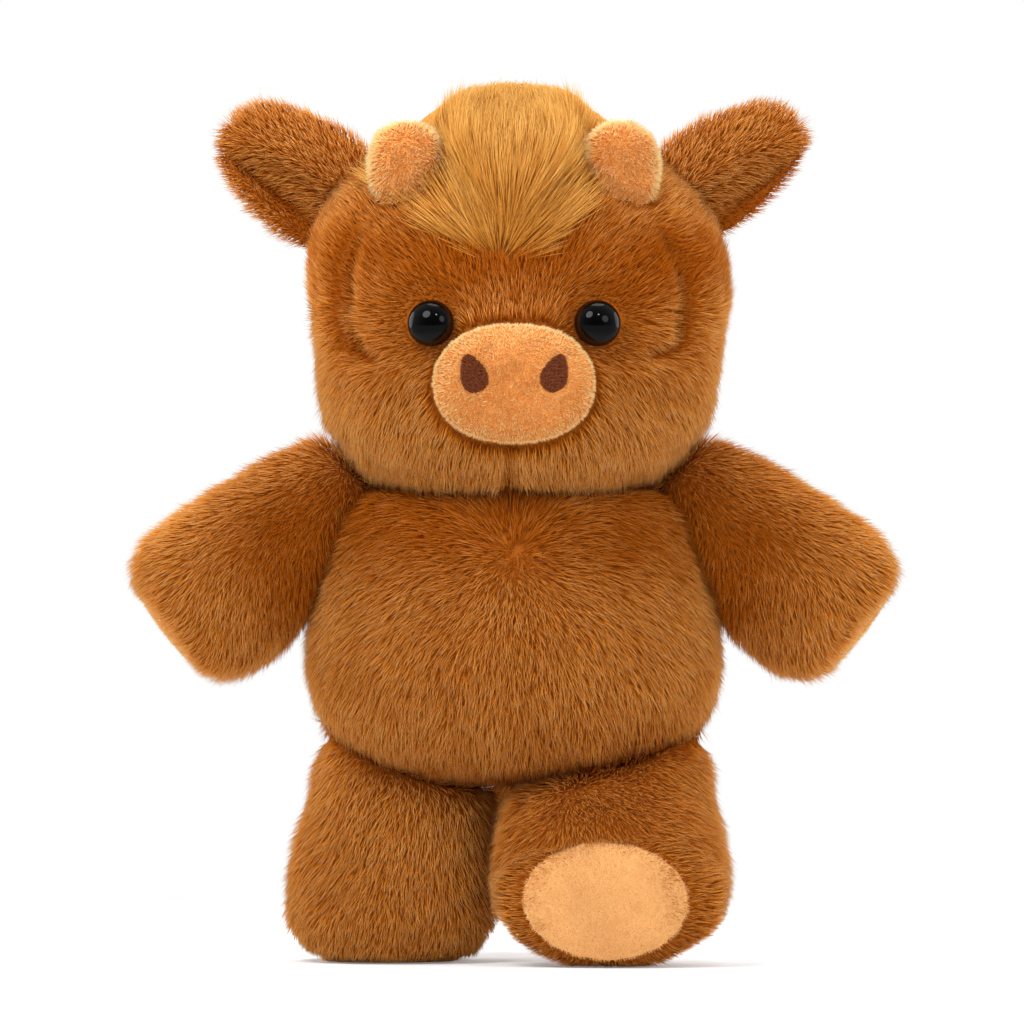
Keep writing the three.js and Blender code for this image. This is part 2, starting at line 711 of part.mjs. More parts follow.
function leftLegForm() {
  const soleCentre = point(leftFootReach, legSetBack - leftFootAdvance, leftFootLift);
  const knee = point((leftFootReach + hipReach) / 2, legSetBack - kneeAdvance, kneeLift);
  return stuffedForm({
    spine: new THREE.QuadraticBezierCurve3(soleCentre, knee, point(hipReach, legSetBack, legTop)),
    halfWidth: leftFootHalfWidth,
    front: leftFootHalfDepth,
    back: leftFootHalfDepth,
    shares: leftLegShares,
    rings: 14,
    sides: 20,
  });
}

function buildLegs() {
  const inner = innerFineness;
  const legs = [
    { name: 'left', sign: 1, form: leftLegForm() },
    { name: 'right', sign: -1, form: rightLegForm() },
  ];
  const ground = slab(-2 * overrun, 0);
  for (const { name, sign, form } of legs) {
    const parting = sideBlock(-legPart + sign * seamGap, -sign);
    const innerParting = sideBlock(-legPart + sign * (coverWall + seamGap), -sign);
    const fillParting = sideBlock(-legPart + sign * (coverWall + 2 * seamGap), -sign);
    const outside = formSolid(form).subtract(parting).subtract(ground);
    const near = formSolid(torsoForm, seamGap);
    const beyond = formSolid(torsoForm, hipFold + seamGap);
    const cavity = formSolid(form, -coverWall, inner)
      .subtract(innerParting)
      .subtract(slab(-overrun, coverWall));
    const { pad, pocket } = padAndPocket(form, soleHalfWidth, soleHalfDepth, true);
    const cover = outside.subtract(cavity).subtract(pocket).subtract(beyond);
    const filling = formSolid(form, -coverWall - seamGap, inner)
      .subtract(fillParting)
      .subtract(slab(-overrun, coverWall + seamGap))
      .subtract(beyond);
    const fold = outside.intersect(formSolid(torsoForm, hipFold)).subtract(near);
    addSolid(`hip_fold_${name}`, fold, finishes.brownPlush);
    addSolid(`leg_cover_${name}`, cover, finishes.brownPlush);
    const pelletTop = coverWall + footPelletDepth;
    const stuffing = filling.subtract(slab(-overrun, pelletTop + seamGap));
    const pelletBag = filling.subtract(slab(pelletTop, 2 * neckHeight));
    addSolid(`leg_stuffing_${name}`, stuffing, finishes.fibreFill);
    addSolid(`foot_pellet_bag_${name}`, pelletBag, finishes.pellets);
    addSolid(`foot_sole_${name}`, pad.subtract(ground), finishes.solePlush);
  }
}

function buildTail() {
  const root = point(0, torsoBackDepth - coverWall, tailLift);
  const end = point(0, torsoBackDepth + tailReach, tailLift - tailDrop);
  const cord = stuffedForm({
    spine: new THREE.CatmullRomCurve3([
      root,
      point(0, torsoBackDepth + tailReach / 3, tailLift),
      point(0, torsoBackDepth + tailReach * 0.85, tailLift - tailDrop * 0.3),
      end,
    ]),
    halfWidth: tailRadius,
    front: tailRadius,
    back: tailRadius,
    shares: tailShares,
    squareness: 2,
    rings: 10,
    sides: 10,
  });
  const tuft = stuffedForm({
    spine: straight(point(0, end.y, end.z + tuftLength / 3), point(0, end.y, end.z - (2 * tuftLength) / 3)),
    halfWidth: tuftRadius,
    front: tuftRadius,
    back: tuftRadius,
    shares: tuftShares,
    squareness: 2,
    rings: 7,
    sides: 12,
  });
  addSolid('tail', formSolid(cord).subtract(formSolid(torsoForm, seamGap)), finishes.brownPlush);
  addSolid('tail_tuft', formSolid(tuft).subtract(formSolid(cord, seamGap)), finishes.blondPlush);
}

buildTorso();
buildHead();
buildSnout();
buildHorns();
buildTopknot();
buildEars();
buildArms();
buildLegs();
buildTail();

// The origin is the middle of the toy's footprint box, on the floor.
const extent = new THREE.Box3().setFromObject(cow);
const middle = extent.getCenter(new THREE.Vector3());
cow.position.set(-middle.x, -middle.y, -extent.min.z);
cow.updateMatrixWorld(true);

export default cow;
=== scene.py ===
# Plush cow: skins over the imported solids, fur on the skins, and the small sewn pieces.
# Metres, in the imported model's frame. The toy looks along -Y and its left is +X.
import json
import math

import bmesh
import bpy
import numpy as np
from mathutils import Matrix, Vector
from mathutils.bvhtree import BVHTree
from mathutils.kdtree import KDTree


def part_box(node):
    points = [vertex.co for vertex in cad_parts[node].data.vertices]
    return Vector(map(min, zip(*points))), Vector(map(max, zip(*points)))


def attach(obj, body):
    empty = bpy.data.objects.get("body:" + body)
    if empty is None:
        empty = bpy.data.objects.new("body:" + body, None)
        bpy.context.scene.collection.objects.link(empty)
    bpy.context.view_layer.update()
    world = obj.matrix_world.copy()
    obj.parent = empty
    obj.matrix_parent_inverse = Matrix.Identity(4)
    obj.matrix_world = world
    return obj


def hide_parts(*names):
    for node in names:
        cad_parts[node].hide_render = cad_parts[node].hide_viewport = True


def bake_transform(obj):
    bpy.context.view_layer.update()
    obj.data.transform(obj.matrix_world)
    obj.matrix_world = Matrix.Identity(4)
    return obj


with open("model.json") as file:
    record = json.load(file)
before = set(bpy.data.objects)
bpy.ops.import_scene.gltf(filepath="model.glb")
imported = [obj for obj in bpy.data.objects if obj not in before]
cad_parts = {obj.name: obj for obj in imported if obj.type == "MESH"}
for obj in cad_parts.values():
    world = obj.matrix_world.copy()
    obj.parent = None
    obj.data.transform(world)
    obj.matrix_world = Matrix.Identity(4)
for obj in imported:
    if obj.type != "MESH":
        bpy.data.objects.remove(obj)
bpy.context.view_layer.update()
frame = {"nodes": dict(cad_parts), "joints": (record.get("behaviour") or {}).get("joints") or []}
nodes = frame["nodes"]
scene = bpy.context.scene
scene.view_settings.view_transform = "Standard"
sides = {"left": 1, "right": -1}
white, black = (1, 1, 1, 1), (0, 0, 0, 1)


# Small helpers
def smoothStep(low, high, value):
    t = np.clip((value - low) / (high - low), 0, 1)
    return t * t * (3 - 2 * t)


# One at the middle, and next to nothing two widths away from it
def bell(value, middle, width):
    return np.exp(-((value - middle) / width) ** 2)


# A band at a height that comes in or fades out towards the sides
def band(across, height, shape):
    return bell(height, shape["height"], shape["tall"]) * smoothStep(*shape["across"], across)


def unit(vectors):
    return vectors / np.maximum(np.linalg.norm(vectors, axis=-1, keepdims=True), 1e-9)


def middleOf(node):
    low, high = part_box(node)
    return np.array((low + high) / 2)


# Smooth seeded unevenness, about -1 to 1, that repeats at about the given size
def waves(points, size, seed):
    rng = np.random.default_rng(seed)
    total = np.zeros(len(points))
    for _ in range(9):
        way = unit(rng.normal(size=3)) * rng.uniform(0.7, 1.5) * 2 * math.pi / size
        total += np.sin(points @ way + rng.uniform(0, 2 * math.pi))
    return total / 3.2


# Uneven shade: slow patches with a finer change over them
def mottle(points, patch, grain, seed, slow=0.07, fine=0.05):
    return slow * waves(points, patch, seed) + fine * waves(points, grain, seed + 1)


# Distance in a front view from each point to a line through a few places
def frontDistance(points, line):
    flat = points[:, [0, 2]]
    nearest = np.full(len(points), 1.0)
    for start, end in zip(np.array(line[:-1]), np.array(line[1:])):
        along = end - start
        share = np.clip(((flat - start) @ along) / (along @ along), 0, 1)
        gap = np.linalg.norm(flat - start - share[:, None] * along, axis=1)
        nearest = np.minimum(nearest, gap)
    return nearest


def pointsOf(mesh, what="co"):
    values = np.empty(len(mesh.vertices) * 3, np.float32)
    mesh.vertices.foreach_get(what, values)
    return values.reshape(-1, 3).astype(float)


def normalsOf(mesh):
    return pointsOf(mesh, "normal")


def setPoints(mesh, points):
    mesh.vertices.foreach_set("co", points.astype(np.float32).ravel())
    mesh.update()


def addObject(name, mesh):
    obj = bpy.data.objects.new(name, mesh)
    scene.collection.objects.link(obj)
    return obj


def objectFrom(name, bm):
    mesh = bpy.data.meshes.new(name)
    bm.to_mesh(mesh)
    bm.free()
    return addObject(name, mesh)


def shadeSmooth(mesh):
    mesh.polygons.foreach_set("use_smooth", np.ones(len(mesh.polygons), bool))


def treeOf(mesh):
    corners = [list(face.vertices) for face in mesh.polygons]
    return BVHTree.FromPolygons([v.co for v in mesh.vertices], corners)


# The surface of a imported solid, reshaped first where a way to do so is given
def treeOfNode(name, reshape=None):
    if reshape is None:
        return treeOf(nodes[name].data)
    mesh = nodes[name].data.copy()
    setPoints(mesh, reshape(pointsOf(mesh)))
    tree = treeOf(mesh)
    bpy.data.meshes.remove(mesh)
    return tree


def gapTo(tree, points, reach):
    found = [tree.find_nearest(Vector(p), reach)[3] for p in points]
    return np.array([reach if gap is None else gap for gap in found])


# Above zero outside a closed surface and below zero inside it
def heightOver(tree, points):
    heights = np.empty(len(points))
    for i, p in enumerate(points):
        place, normal, _, gap = tree.find_nearest(Vector(p))
        heights[i] = gap if (Vector(p) - place).dot(normal) > 0 else -gap
    return heights


# True where the straight way out of a skin soon meets another surface
def coveredBy(tree, points, upward, reach=0.02):
    starts = points + upward * 0.0002
    hits = [tree.ray_cast(Vector(p), Vector(n), reach)[0] for p, n in zip(starts, upward)]
    return np.array([hit is not None for hit in hits])


# Materials
def paint(red, green, blue):
    values = [red / 255, green / 255, blue / 255]
    linear = [v / 12.92 if v <= 0.04045 else ((v + 0.055) / 1.055) ** 2.4 for v in values]
    return (*linear, 1)


# Gives each named input of a node its value or its link
def feed(tree, node, inputs):
    for name, value in inputs.items():
        if isinstance(value, bpy.types.NodeSocket):
            tree.links.new(value, node.inputs[name])
        else:
            node.inputs[name].default_value = value


def addNode(tree, kind, inputs, **settings):
    node = tree.nodes.new("ShaderNode" + kind)
    for name, value in settings.items():
        setattr(node, name, value)
    feed(tree, node, inputs)
    return node


def addMath(tree, operation, first, second, clamp=False):
    node = addNode(tree, "Math", {0: first, 1: second}, operation=operation, use_clamp=clamp)
    return node.outputs[0]


def addRamp(tree, factor, stops):
    ramp = addNode(tree, "ValToRGB", {0: factor})
    while len(ramp.color_ramp.elements) < len(stops):
        ramp.color_ramp.elements.new(0.5)
    for element, (place, colour) in zip(ramp.color_ramp.elements, stops):
        element.position = place
        element.color = colour
    return ramp.outputs[0]


def mixColours(tree, factor, first, second, blend="MIX"):
    inputs = {0: factor, 6: first, 7: second}
    return addNode(tree, "Mix", inputs, data_type="RGBA", blend_type=blend).outputs[2]


def objectPlace(tree):
    return addNode(tree, "TexCoord", {}).outputs["Object"]


def newMaterial(name):
    material = bpy.data.materials.new(name)
    material.use_nodes = True
    return material, material.node_tree, material.node_tree.nodes["Principled BSDF"]


# Hair: its map holds the tone across and the way from root to tip upwards
def furMaterial(name, dark, light, roughness, sheen):
    material, tree, shader = newMaterial(name)
    uvMap = addNode(tree, "UVMap", {}, uv_map="OFBake")
    split = addNode(tree, "SeparateXYZ", {0: uvMap.outputs[0]})
    dark, light = ([(place, paint(*colour)) for place, *colour in stops] for stops in (dark, light))
    ramps = [addRamp(tree, split.outputs[1], stops) for stops in (dark, light)]
    feed(tree, shader, {
        "Base Color": mixColours(tree, split.outputs[0], *ramps),
        "Roughness": roughness, "Specular IOR Level": 0.02,
        "Sheen Weight": sheen, "Sheen Roughness": 0.4, "Sheen Tint": light[-1][1],
    })
    return material


# Cloth: two tones in fine grain over a slow change, with a bump of the same grain
weave = {"detail": 3, "patchScale": 55, "patchShade": (0.86, 0.84, 0.82, 1)}


def clothMaterial(name, low, high, grain, bump, roughness=0.9, specular=0.1):
    material, tree, shader = newMaterial(name)
    place = objectPlace(tree)
    inputs = {"Vector": place, "Scale": 1 / grain, "Detail": weave["detail"]}
    fine = addNode(tree, "TexNoise", inputs).outputs[0]
    slow = addNode(tree, "TexNoise", {"Vector": place, "Scale": weave["patchScale"]}).outputs[0]
    tones = addRamp(tree, fine, [(0.3, paint(*low)), (0.7, paint(*high))])
    patches = addRamp(tree, slow, [(0.35, weave["patchShade"]), (0.65, white)])
    feed(tree, shader, {
        "Base Color": mixColours(tree, 1.0, tones, patches, "MULTIPLY"),
        "Normal": addNode(tree, "Bump", {"Distance": bump, "Height": fine}).outputs[0],
        "Roughness": roughness, "Specular IOR Level": specular,
    })
    return material


# The four kinds of plush: the hair, with its stops from root to tip, and the cloth under it
plushLooks = {
    "brown_plush": {
        "hair": {
            "name": "brown_fur", "roughness": 0.8, "sheen": 0.0,
            "dark": [(0.0, 154, 70, 0), (0.45, 164, 77, 0), (1.0, 188, 98, 12)],
            "light": [(0.0, 200, 110, 12), (0.45, 232, 146, 44), (1.0, 255, 208, 136)],
        },
        "cloth": {
            "name": "brown_backing", "low": (142, 72, 12), "high": (170, 92, 24),
            "grain": 0.0006, "bump": 0.0004,
        },
    },
    "blond_plush": {
        "hair": {
            "name": "blond_hair", "roughness": 0.6, "sheen": 0.15,
            "dark": [(0.0, 186, 114, 34), (0.4, 198, 124, 38), (1.0, 214, 144, 56)],
            "light": [(0.0, 222, 152, 62), (0.4, 236, 172, 80), (1.0, 255, 206, 120)],
        },
        "cloth": {
            "name": "blond_backing", "low": (176, 112, 38), "high": (214, 148, 62),
            "grain": 0.0006, "bump": 0.0004,
        },
    },
    "peach_plush": {
        "hair": {
            "name": "peach_pile", "roughness": 0.75, "sheen": 0.1,
            "dark": [(0.0, 218, 122, 30), (1.0, 240, 152, 60)],
            "light": [(0.0, 248, 180, 92), (1.0, 255, 232, 172)],
        },
        "cloth": {
            "name": "peach_backing", "low": (222, 136, 58), "high": (250, 180, 104),
            "grain": 0.0004, "bump": 0.0004,
        },
    },
    "sole_plush": {
        "hair": {
            "name": "sole_pile", "roughness": 0.75, "sheen": 0.1,
            "dark": [(0.0, 242, 172, 100), (1.0, 252, 190, 118)],
            "light": [(0.0, 250, 194, 124), (1.0, 255, 214, 148)],
        },
        "cloth": {
            "name": "sole_backing", "low": (240, 176, 108), "high": (252, 200, 136),
            "grain": 0.0004, "bump": 0.0003,
        },
    },
}
hairOf = {slot: furMaterial(**look["hair"]) for slot, look in plushLooks.items()}
clothOf = {slot: clothMaterial(**look["cloth"]) for slot, look in plushLooks.items()}
print("materials ready")


# Camera, floor and lights
view = {"width": 0.346, "centre": (-0.0007, 0.0, 0.152), "distance": 5.0, "elevation": 1.0}


def turnTo(obj, way):
    obj.rotation_mode = "QUATERNION"
    obj.rotation_quaternion = way.to_track_quat("-Z", "Y")


def makeCamera():
    data = bpy.data.cameras.new("camera")
    camera = addObject("camera", data)
    data.sensor_width = 36
    data.lens = data.sensor_width * view["distance"] / view["width"]
    tilt = math.radians(view["elevation"])
    back = Vector((0, -math.cos(tilt), math.sin(tilt)))
    camera.location = Vector(view["centre"]) + back * view["distance"]
    turnTo(camera, -back)
    scene.camera = camera


lampAim = Vector((0, 0, 0.15))
lamps = {
    "key": {"at": (-0.65, -1.0, 1.3), "size": 0.8, "watts": 18},
    "fill": {"at": (1.0, -1.1, 0.85), "size": 0.7, "watts": 5.5},
    "top": {"at": (0.1, 0.35, 1.5), "size": 0.9, "watts": 9},
    "rimLeft": {"at": (1.15, 0.45, 0.45), "size": 0.9, "watts": 6},
    "rimRight": {"at": (-1.15, 0.45, 0.45), "size": 0.9, "watts": 7},
    "glint": {"at": (0.30, -1.0, 1.15), "size": 0.13, "watts": 2.4},
}


def makeLamps():
    for name, lamp in lamps.items():
        data = bpy.data.lights.new(name, "AREA")
        data.shape = "DISK"
        data.size = lamp["size"]
        data.energy = lamp["watts"]
        obj = addObject(name, data)
        obj.location = lamp["at"]
        turnTo(obj, lampAim - Vector(lamp["at"]))


# Levels of grey: the even light, and what gloss mirrors from the camera's side
room = {"ambient": 0.60, "cameraSide": 0.12}


def grey(level):
    return (level, level, level, 1)


# White behind the toy, paler grey on the camera's side, and an even light for everything else
def makeWorld():
    world = bpy.data.worlds.new("studio")
    scene.world = world
    world.use_nodes = True
    tree = world.node_tree
    path = addNode(tree, "LightPath", {}).outputs
    split = addNode(tree, "SeparateXYZ", {0: addNode(tree, "TexCoord", {}).outputs["Generated"]})
    along = addNode(tree, "Math", {0: split.outputs[1], 1: 0.5, 2: 0.5}, operation="MULTIPLY_ADD")
    mirror = addRamp(tree, along.outputs[0], [(0.0, grey(room["cameraSide"])), (0.5, white)])
    seen = addMath(tree, "ADD", path["Is Glossy Ray"], path["Is Transmission Ray"], clamp=True)
    even = mixColours(tree, seen, grey(room["ambient"]), mirror)
    backdrop = mixColours(tree, path["Is Camera Ray"], even, white)
    feed(tree, tree.nodes["Background"], {0: backdrop, 1: 1})


floorLook = {"reach": 6.0, "grey": 0.84, "glow": 0.2, "fadeFrom": 0.22, "fadeTo": 0.5}


# Pale near the toy, and fading to the white of the backdrop where the camera or gloss sees it
def makeFloor():
    bm = bmesh.new()
    bmesh.ops.create_grid(bm, x_segments=1, y_segments=1, size=floorLook["reach"])
    floor = objectFrom("floor", bm)
    material, tree, shader = newMaterial("pale_floor")
    away = addNode(tree, "VectorMath", {0: objectPlace(tree)}, operation="LENGTH").outputs["Value"]
    inputs = {"Value": away, "From Min": floorLook["fadeFrom"], "From Max": floorLook["fadeTo"]}
    fade = addNode(tree, "MapRange", inputs).outputs[0]
    inputs = {"Value": fade, "To Min": floorLook["glow"], "To Max": 1}
    glow = addNode(tree, "MapRange", inputs).outputs[0]
    path = addNode(tree, "LightPath", {}).outputs
    mirrored = addMath(tree, "ADD", path["Is Glossy Ray"], path["Is Transmission Ray"])
    seen = addMath(tree, "ADD", path["Is Camera Ray"], mirrored, clamp=True)
    paleness = addMath(tree, "MULTIPLY", seen, fade)
    feed(tree, shader, {
        "Base Color": mixColours(tree, paleness, grey(floorLook["grey"]), black),
        "Emission Color": white, "Emission Strength": addMath(tree, "MULTIPLY", seen, glow),
        "Roughness": 0.9, "Specular IOR Level": 0.0,
    })
    floor.data.materials.append(material)


makeCamera()
makeLamps()
makeWorld()
makeFloor()
print("camera, lamps and floor ready")


# Skins: the closed surface that the fur grows from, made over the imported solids
def nodePoints(names):
    points = np.concatenate([pointsOf(nodes[name].data) for name in names])
    return np.unique(points.round(6), axis=0)


def addHull(bm, points):
    made = [bm.verts.new(p) for p in points]
    hull = bmesh.ops.convex_hull(bm, input=made)
    inner = hull["geom_interior"] + hull["geom_unused"]
    spare = {g for g in inner if isinstance(g, bmesh.types.BMVert)}
    bmesh.ops.delete(bm, geom=list(spare), context="VERTS")


# The outer hull of the nodes, in overlapping bands along an axis where a form is bent
def hullForm(names, bands=1, axis=(0, 0, 1)):
    points = nodePoints(names)
    place = points @ unit(np.array(axis, float))
    edges = np.linspace(place.min(), place.max(), bands + 1)
    overlap = 0.45 * (edges[1] - edges[0]) if bands > 1 else 0
    bm = bmesh.new()
    for low, high in zip(edges[:-1], edges[1:]):
        addHull(bm, points[(place >= low - overlap - 1e-6) & (place <= high + overlap + 1e-6)])
    return bm


def ownForm(name):
    bm = bmesh.new()
    bm.from_mesh(nodes[name].data)
    bmesh.ops.remove_doubles(bm, verts=bm.verts, dist=0.00001)
    return bm


def soften(obj, rounds, voxel=None):
    if voxel:
        remesh = obj.modifiers.new("remesh", "REMESH")
        remesh.mode = "VOXEL"
        remesh.voxel_size = voxel
    obj.modifiers.new("smooth", "SMOOTH").iterations = rounds
    graph = bpy.context.evaluated_depsgraph_get()
    mesh = bpy.data.meshes.new_from_object(obj.evaluated_get(graph))
    obj.modifiers.clear()
    obj.data = mesh
    mesh.name = obj.name


# Moves a skin in by the depth of its fur, but not where other pieces are sewn on to it
def sinkSkin(obj, depth, seats, near=0.0015, far=0.007, least=0.0):
    points, normals = pointsOf(obj.data), normalsOf(obj.data)
    gap = np.full(len(points), far)
    for seat in seats:
        gap = np.minimum(gap, gapTo(treeOfNode(seat), points, far))
    share = smoothStep(near, far, gap)
    setPoints(obj.data, points - normals * (least + (depth - least) * share)[:, None])
    pile = obj.data.attributes.new("pile", "FLOAT", "POINT")
    pile.data.foreach_set("value", share.astype(np.float32))


# Draws a limb in where it is sewn to the body, so that its edge lies under the body's fur
def tuckIn(obj, depth, reach):
    points, normals = pointsOf(obj.data), normalsOf(obj.data)
    share = 1 - smoothStep(0, reach, gapTo(treeOfNode("torso_cover"), points, reach))
    setPoints(obj.data, points - normals * (depth * share)[:, None])


# Takes the root of a piece that is sewn to the head down through the fur to the backing
def reachDown(obj, depth, reach):
    points = pointsOf(obj.data)
    tree = treeOfNode("head_cover")
    for i, point in enumerate(points):
        _, normal, _, gap = tree.find_nearest(Vector(point), reach)
        if gap is not None:
            points[i] -= np.array(normal) * depth * (1 - smoothStep(reach * 0.35, reach, gap))
    setPoints(obj.data, points)


# Lays points that stand off a surface by more than the limit down on to it, by the given shares
def pressOnto(tree, points, limit, shares):
    moved = points.copy()
    for i in np.flatnonzero(shares > 0):
        place, normal, _, gap = tree.find_nearest(Vector(points[i]))
        if (Vector(points[i]) - place).dot(normal) > 0 and gap > limit:
            moved[i] -= np.array(normal) * (gap - limit) * shares[i]
    return moved


# One hair along +Z from 0 to 1: three-sided, a ring at each place, a point at both ends
def hairShape(places, widths):
    bm = bmesh.new()
    top = places[-1]
    bmesh.ops.create_cone(bm, cap_ends=True, segments=3, radius1=widths[-1], radius2=0, depth=1 - top)
    bmesh.ops.translate(bm, vec=(0, 0, (1 + top) / 2), verts=bm.verts)
    base = [f for f in bm.faces if max(v.co.z for v in f.verts) < top + 1e-6]
    for i in reversed(range(len(places) - 1)):
        grown = bmesh.ops.extrude_face_region(bm, geom=base)["geom"]
        bmesh.ops.delete(bm, geom=base, context="FACES_ONLY")
        base = [g for g in grown if isinstance(g, bmesh.types.BMFace)]
        share = widths[i] / widths[i + 1]
        bmesh.ops.translate(bm, vec=(0, 0, places[i] - places[i + 1]), verts=base[0].verts)
        bmesh.ops.scale(bm, vec=(share, share, 1), verts=base[0].verts)
    bmesh.ops.poke(bm, faces=base)["verts"][0].co.z = 0
    bmesh.ops.recalc_face_normals(bm, faces=bm.faces)
    bmesh.ops.triangulate(bm, faces=bm.faces)
    bm.verts.index_update()
    points = np.array([v.co for v in bm.verts])
    faces = np.array([[v.index for v in f.verts] for f in bm.faces])
    bm.free()
    return points, faces


# Roots spread evenly over a skin: place, normal and depth of pile at each
def scatter(skin, perArea, rng):
    mesh = skin.data
    mesh.calc_loop_triangles()
    corners = np.empty(len(mesh.loop_triangles) * 3, np.int32)
    mesh.loop_triangles.foreach_get("vertices", corners)
    corners = corners.reshape(-1, 3)
    points, normals = pointsOf(mesh), normalsOf(mesh)
    pile = np.ones(len(points), np.float32)
    if "pile" in mesh.attributes:
        mesh.attributes["pile"].data.foreach_get("value", pile)
    pile = pile.astype(float)
    a, b, c = (points[corners[:, i]] for i in range(3))
    total = np.cumsum(np.linalg.norm(np.cross(b - a, c - a), axis=1) / 2)
    count = int(total[-1] * perArea)
    at = (np.arange(count) + rng.random(count)) * total[-1] / count
    face = np.minimum(np.searchsorted(total, at), len(corners) - 1)
    u, v = rng.random((2, count))
    u, v = np.where(u + v > 1, 1 - u, u), np.where(u + v > 1, 1 - v, v)
    weights = np.stack([1 - u - v, u, v], axis=1)
    own = corners[face]
    roots = (points[own] * weights[:, :, None]).sum(axis=1)
    upward = unit((normals[own] * weights[:, :, None]).sum(axis=1))
    return roots, upward, (pile[own] * weights).sum(axis=1)


def flatFlow(flow, upward):
    return unit(flow - upward * (flow * upward).sum(axis=1)[:, None])


# The way that leans from straight out of the skin towards the lie, by an angle for each hair
def leaning(upward, flow, angle):
    return upward * np.cos(angle)[:, None] + flow * np.sin(angle)[:, None]


def bezier(a, b, c, share):
    return a * (1 - share) ** 2 + 2 * b * share * (1 - share) + c * share ** 2


def carry(obj, body, blend):
    if blend:
        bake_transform(obj)
    else:
        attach(obj, body)


# What all fur shares; the sizes are those of the slow changes in length and lie
growth = {
    "quickShare": 0.35, "thinFrom": 0.0, "thinTo": 0.02, "shortest": 0.7, "lengthRange": 0.42,
    "unevenLength": 0.1, "lengthSize": 0.011, "lieSize": 0.014, "rootBelow": 0.0004, "overFloor": 0.0003,
}


# Fur over one skin. comb gives the way that the hair lies, keep where it grows and tone its shade.
# The hairs come as one piece for each name, and panel says which of them a root belongs to.
def growFur(skin, fur, comb, keep, tone, slot, body, names, seed, panel=None, blend=None):
    rng = np.random.default_rng(seed)
    thin = 1
    roots, upward, pile = scatter(skin, fur["perMm2"] * thin / 0.001 ** 2, rng)
    behind = smoothStep(growth["thinFrom"], growth["thinTo"], roots[:, 1])
    dense = 1 - (1 - fur["behind"]) * behind
    stays = rng.random(len(roots)) < keep(roots, upward) * dense
    roots, upward, pile, dense = roots[stays], upward[stays], pile[stays], dense[stays]
    count = len(roots)
    own = growth["shortest"] + growth["lengthRange"] * rng.random(count)
    length = fur["length"] * (0.6 + 0.4 * pile) * own
    length *= 1 + growth["unevenLength"] * waves(roots, growth["lengthSize"], seed + 1)
    if "lengthAt" in fur:
        length *= fur["lengthAt"](roots)
    flow = flatFlow(comb(roots, upward), upward)
    across = np.cross(upward, flow)
    turn = fur["whirl"] * waves(roots, fur["whirlSize"], seed + 2) + rng.normal(0, fur["loose"], count)
    flow = flow * np.cos(turn)[:, None] + across * np.sin(turn)[:, None]
    lie = fur["lie"] + fur["lieWaves"] * waves(roots, growth["lieSize"], seed + 3)
    lie = lie + rng.normal(0, fur["lieLoose"], count)
    if "lieAt" in fur:
        lie = lie + fur["lieAt"](roots)
    lie = np.radians(lie)
    half = (length * 0.5)[:, None]
    knee = roots + half * leaning(upward, flow, lie * fur["riseShare"])
    tip = knee + half * leaning(upward, flow, lie)
    knee, tip = gatherTufts(roots, knee, tip, fur, rng)
    start = roots - upward * growth["rootBelow"]
    shape, faces = hairShape(fur["places"], fur["widths"])
    width = fur["radius"] * (0.8 + 0.4 * rng.random(count)) / (thin * dense) ** 0.5
    side = unit(np.cross(tip - start, upward) + 1e-9)
    lift = unit(np.cross(side, tip - start))
    spin = rng.normal(0, 0.3, count)
    points = np.empty((count, len(shape), 3))
    for i, (x, y, z) in enumerate(shape):
        turned = x * np.cos(spin) - y * np.sin(spin), x * np.sin(spin) + y * np.cos(spin)
        offset = side * (turned[0] * width)[:, None] + lift * (turned[1] * width * fur["flat"])[:, None]
        points[:, i] = bezier(start, knee, tip, z) + offset
    points[:, :, 2] = np.maximum(points[:, :, 2], growth["overFloor"])
    shade = np.clip(0.5 + tone(roots, upward) + rng.normal(0, fur["spread"], count), 0.03, 0.97)
    which = panel(roots) if panel else np.zeros(count, int)
    for number, name in enumerate(names):
        mine = which == number
        hairs = hairObject(name, points[mine], faces, shape, shade[mine])
        hairs.data.materials.append(hairOf[slot])
        carry(hairs, body, blend)
    print(skin.name, "fur:", count, "hairs,", count * len(faces), "triangles")


# Neighbouring hairs lean together into tufts
def gatherTufts(roots, knee, tip, fur, rng):
    count = len(roots)
    leaders = rng.choice(count, max(1, int(count / fur["tuft"])), replace=False)
    tree = KDTree(len(leaders))
    for i, leader in enumerate(leaders):
        tree.insert(roots[leader], i)
    tree.balance()
    own = leaders[[tree.find(p)[1] for p in roots]]
    pull = (fur["gather"] * rng.uniform(0.5, 1, count))[:, None]
    towards = tip[own] + 0.3 * (roots - roots[own]) - tip
    return knee + towards * pull * 0.3, tip + towards * pull


# One mesh of many hairs, with the tone across its map and root to tip upwards
def hairObject(name, points, faces, shape, shade):
    count, each = points.shape[:2]
    corners = (faces[None] + each * np.arange(count)[:, None, None]).reshape(-1, 3)
    mesh = bpy.data.meshes.new(name)
    mesh.vertices.add(count * each)
    mesh.vertices.foreach_set("co", points.reshape(-1).astype(np.float32))
    mesh.loops.add(corners.size)
    mesh.loops.foreach_set("vertex_index", corners.ravel().astype(np.int32))
    mesh.polygons.add(len(corners))
    mesh.polygons.foreach_set("loop_start", np.arange(0, corners.size, 3, dtype=np.int32))
    shadeSmooth(mesh)
    spread = 0.012 * shape[:, 0] / max(1e-9, np.abs(shape[:, 0]).max())
    across = np.clip(shade[:, None] + spread[None], 0.002, 0.998).ravel()
    upward = np.tile(0.004 + 0.992 * shape[:, 2], count)
    uv = np.stack([across[corners.ravel()], upward[corners.ravel()]], axis=1)
    layer = mesh.uv_layers.new(name="OFBake")
    layer.uv.foreach_set("vector", uv.astype(np.float32).ravel())
    mesh.update(calc_edges=True)
    return addObject(name, mesh)


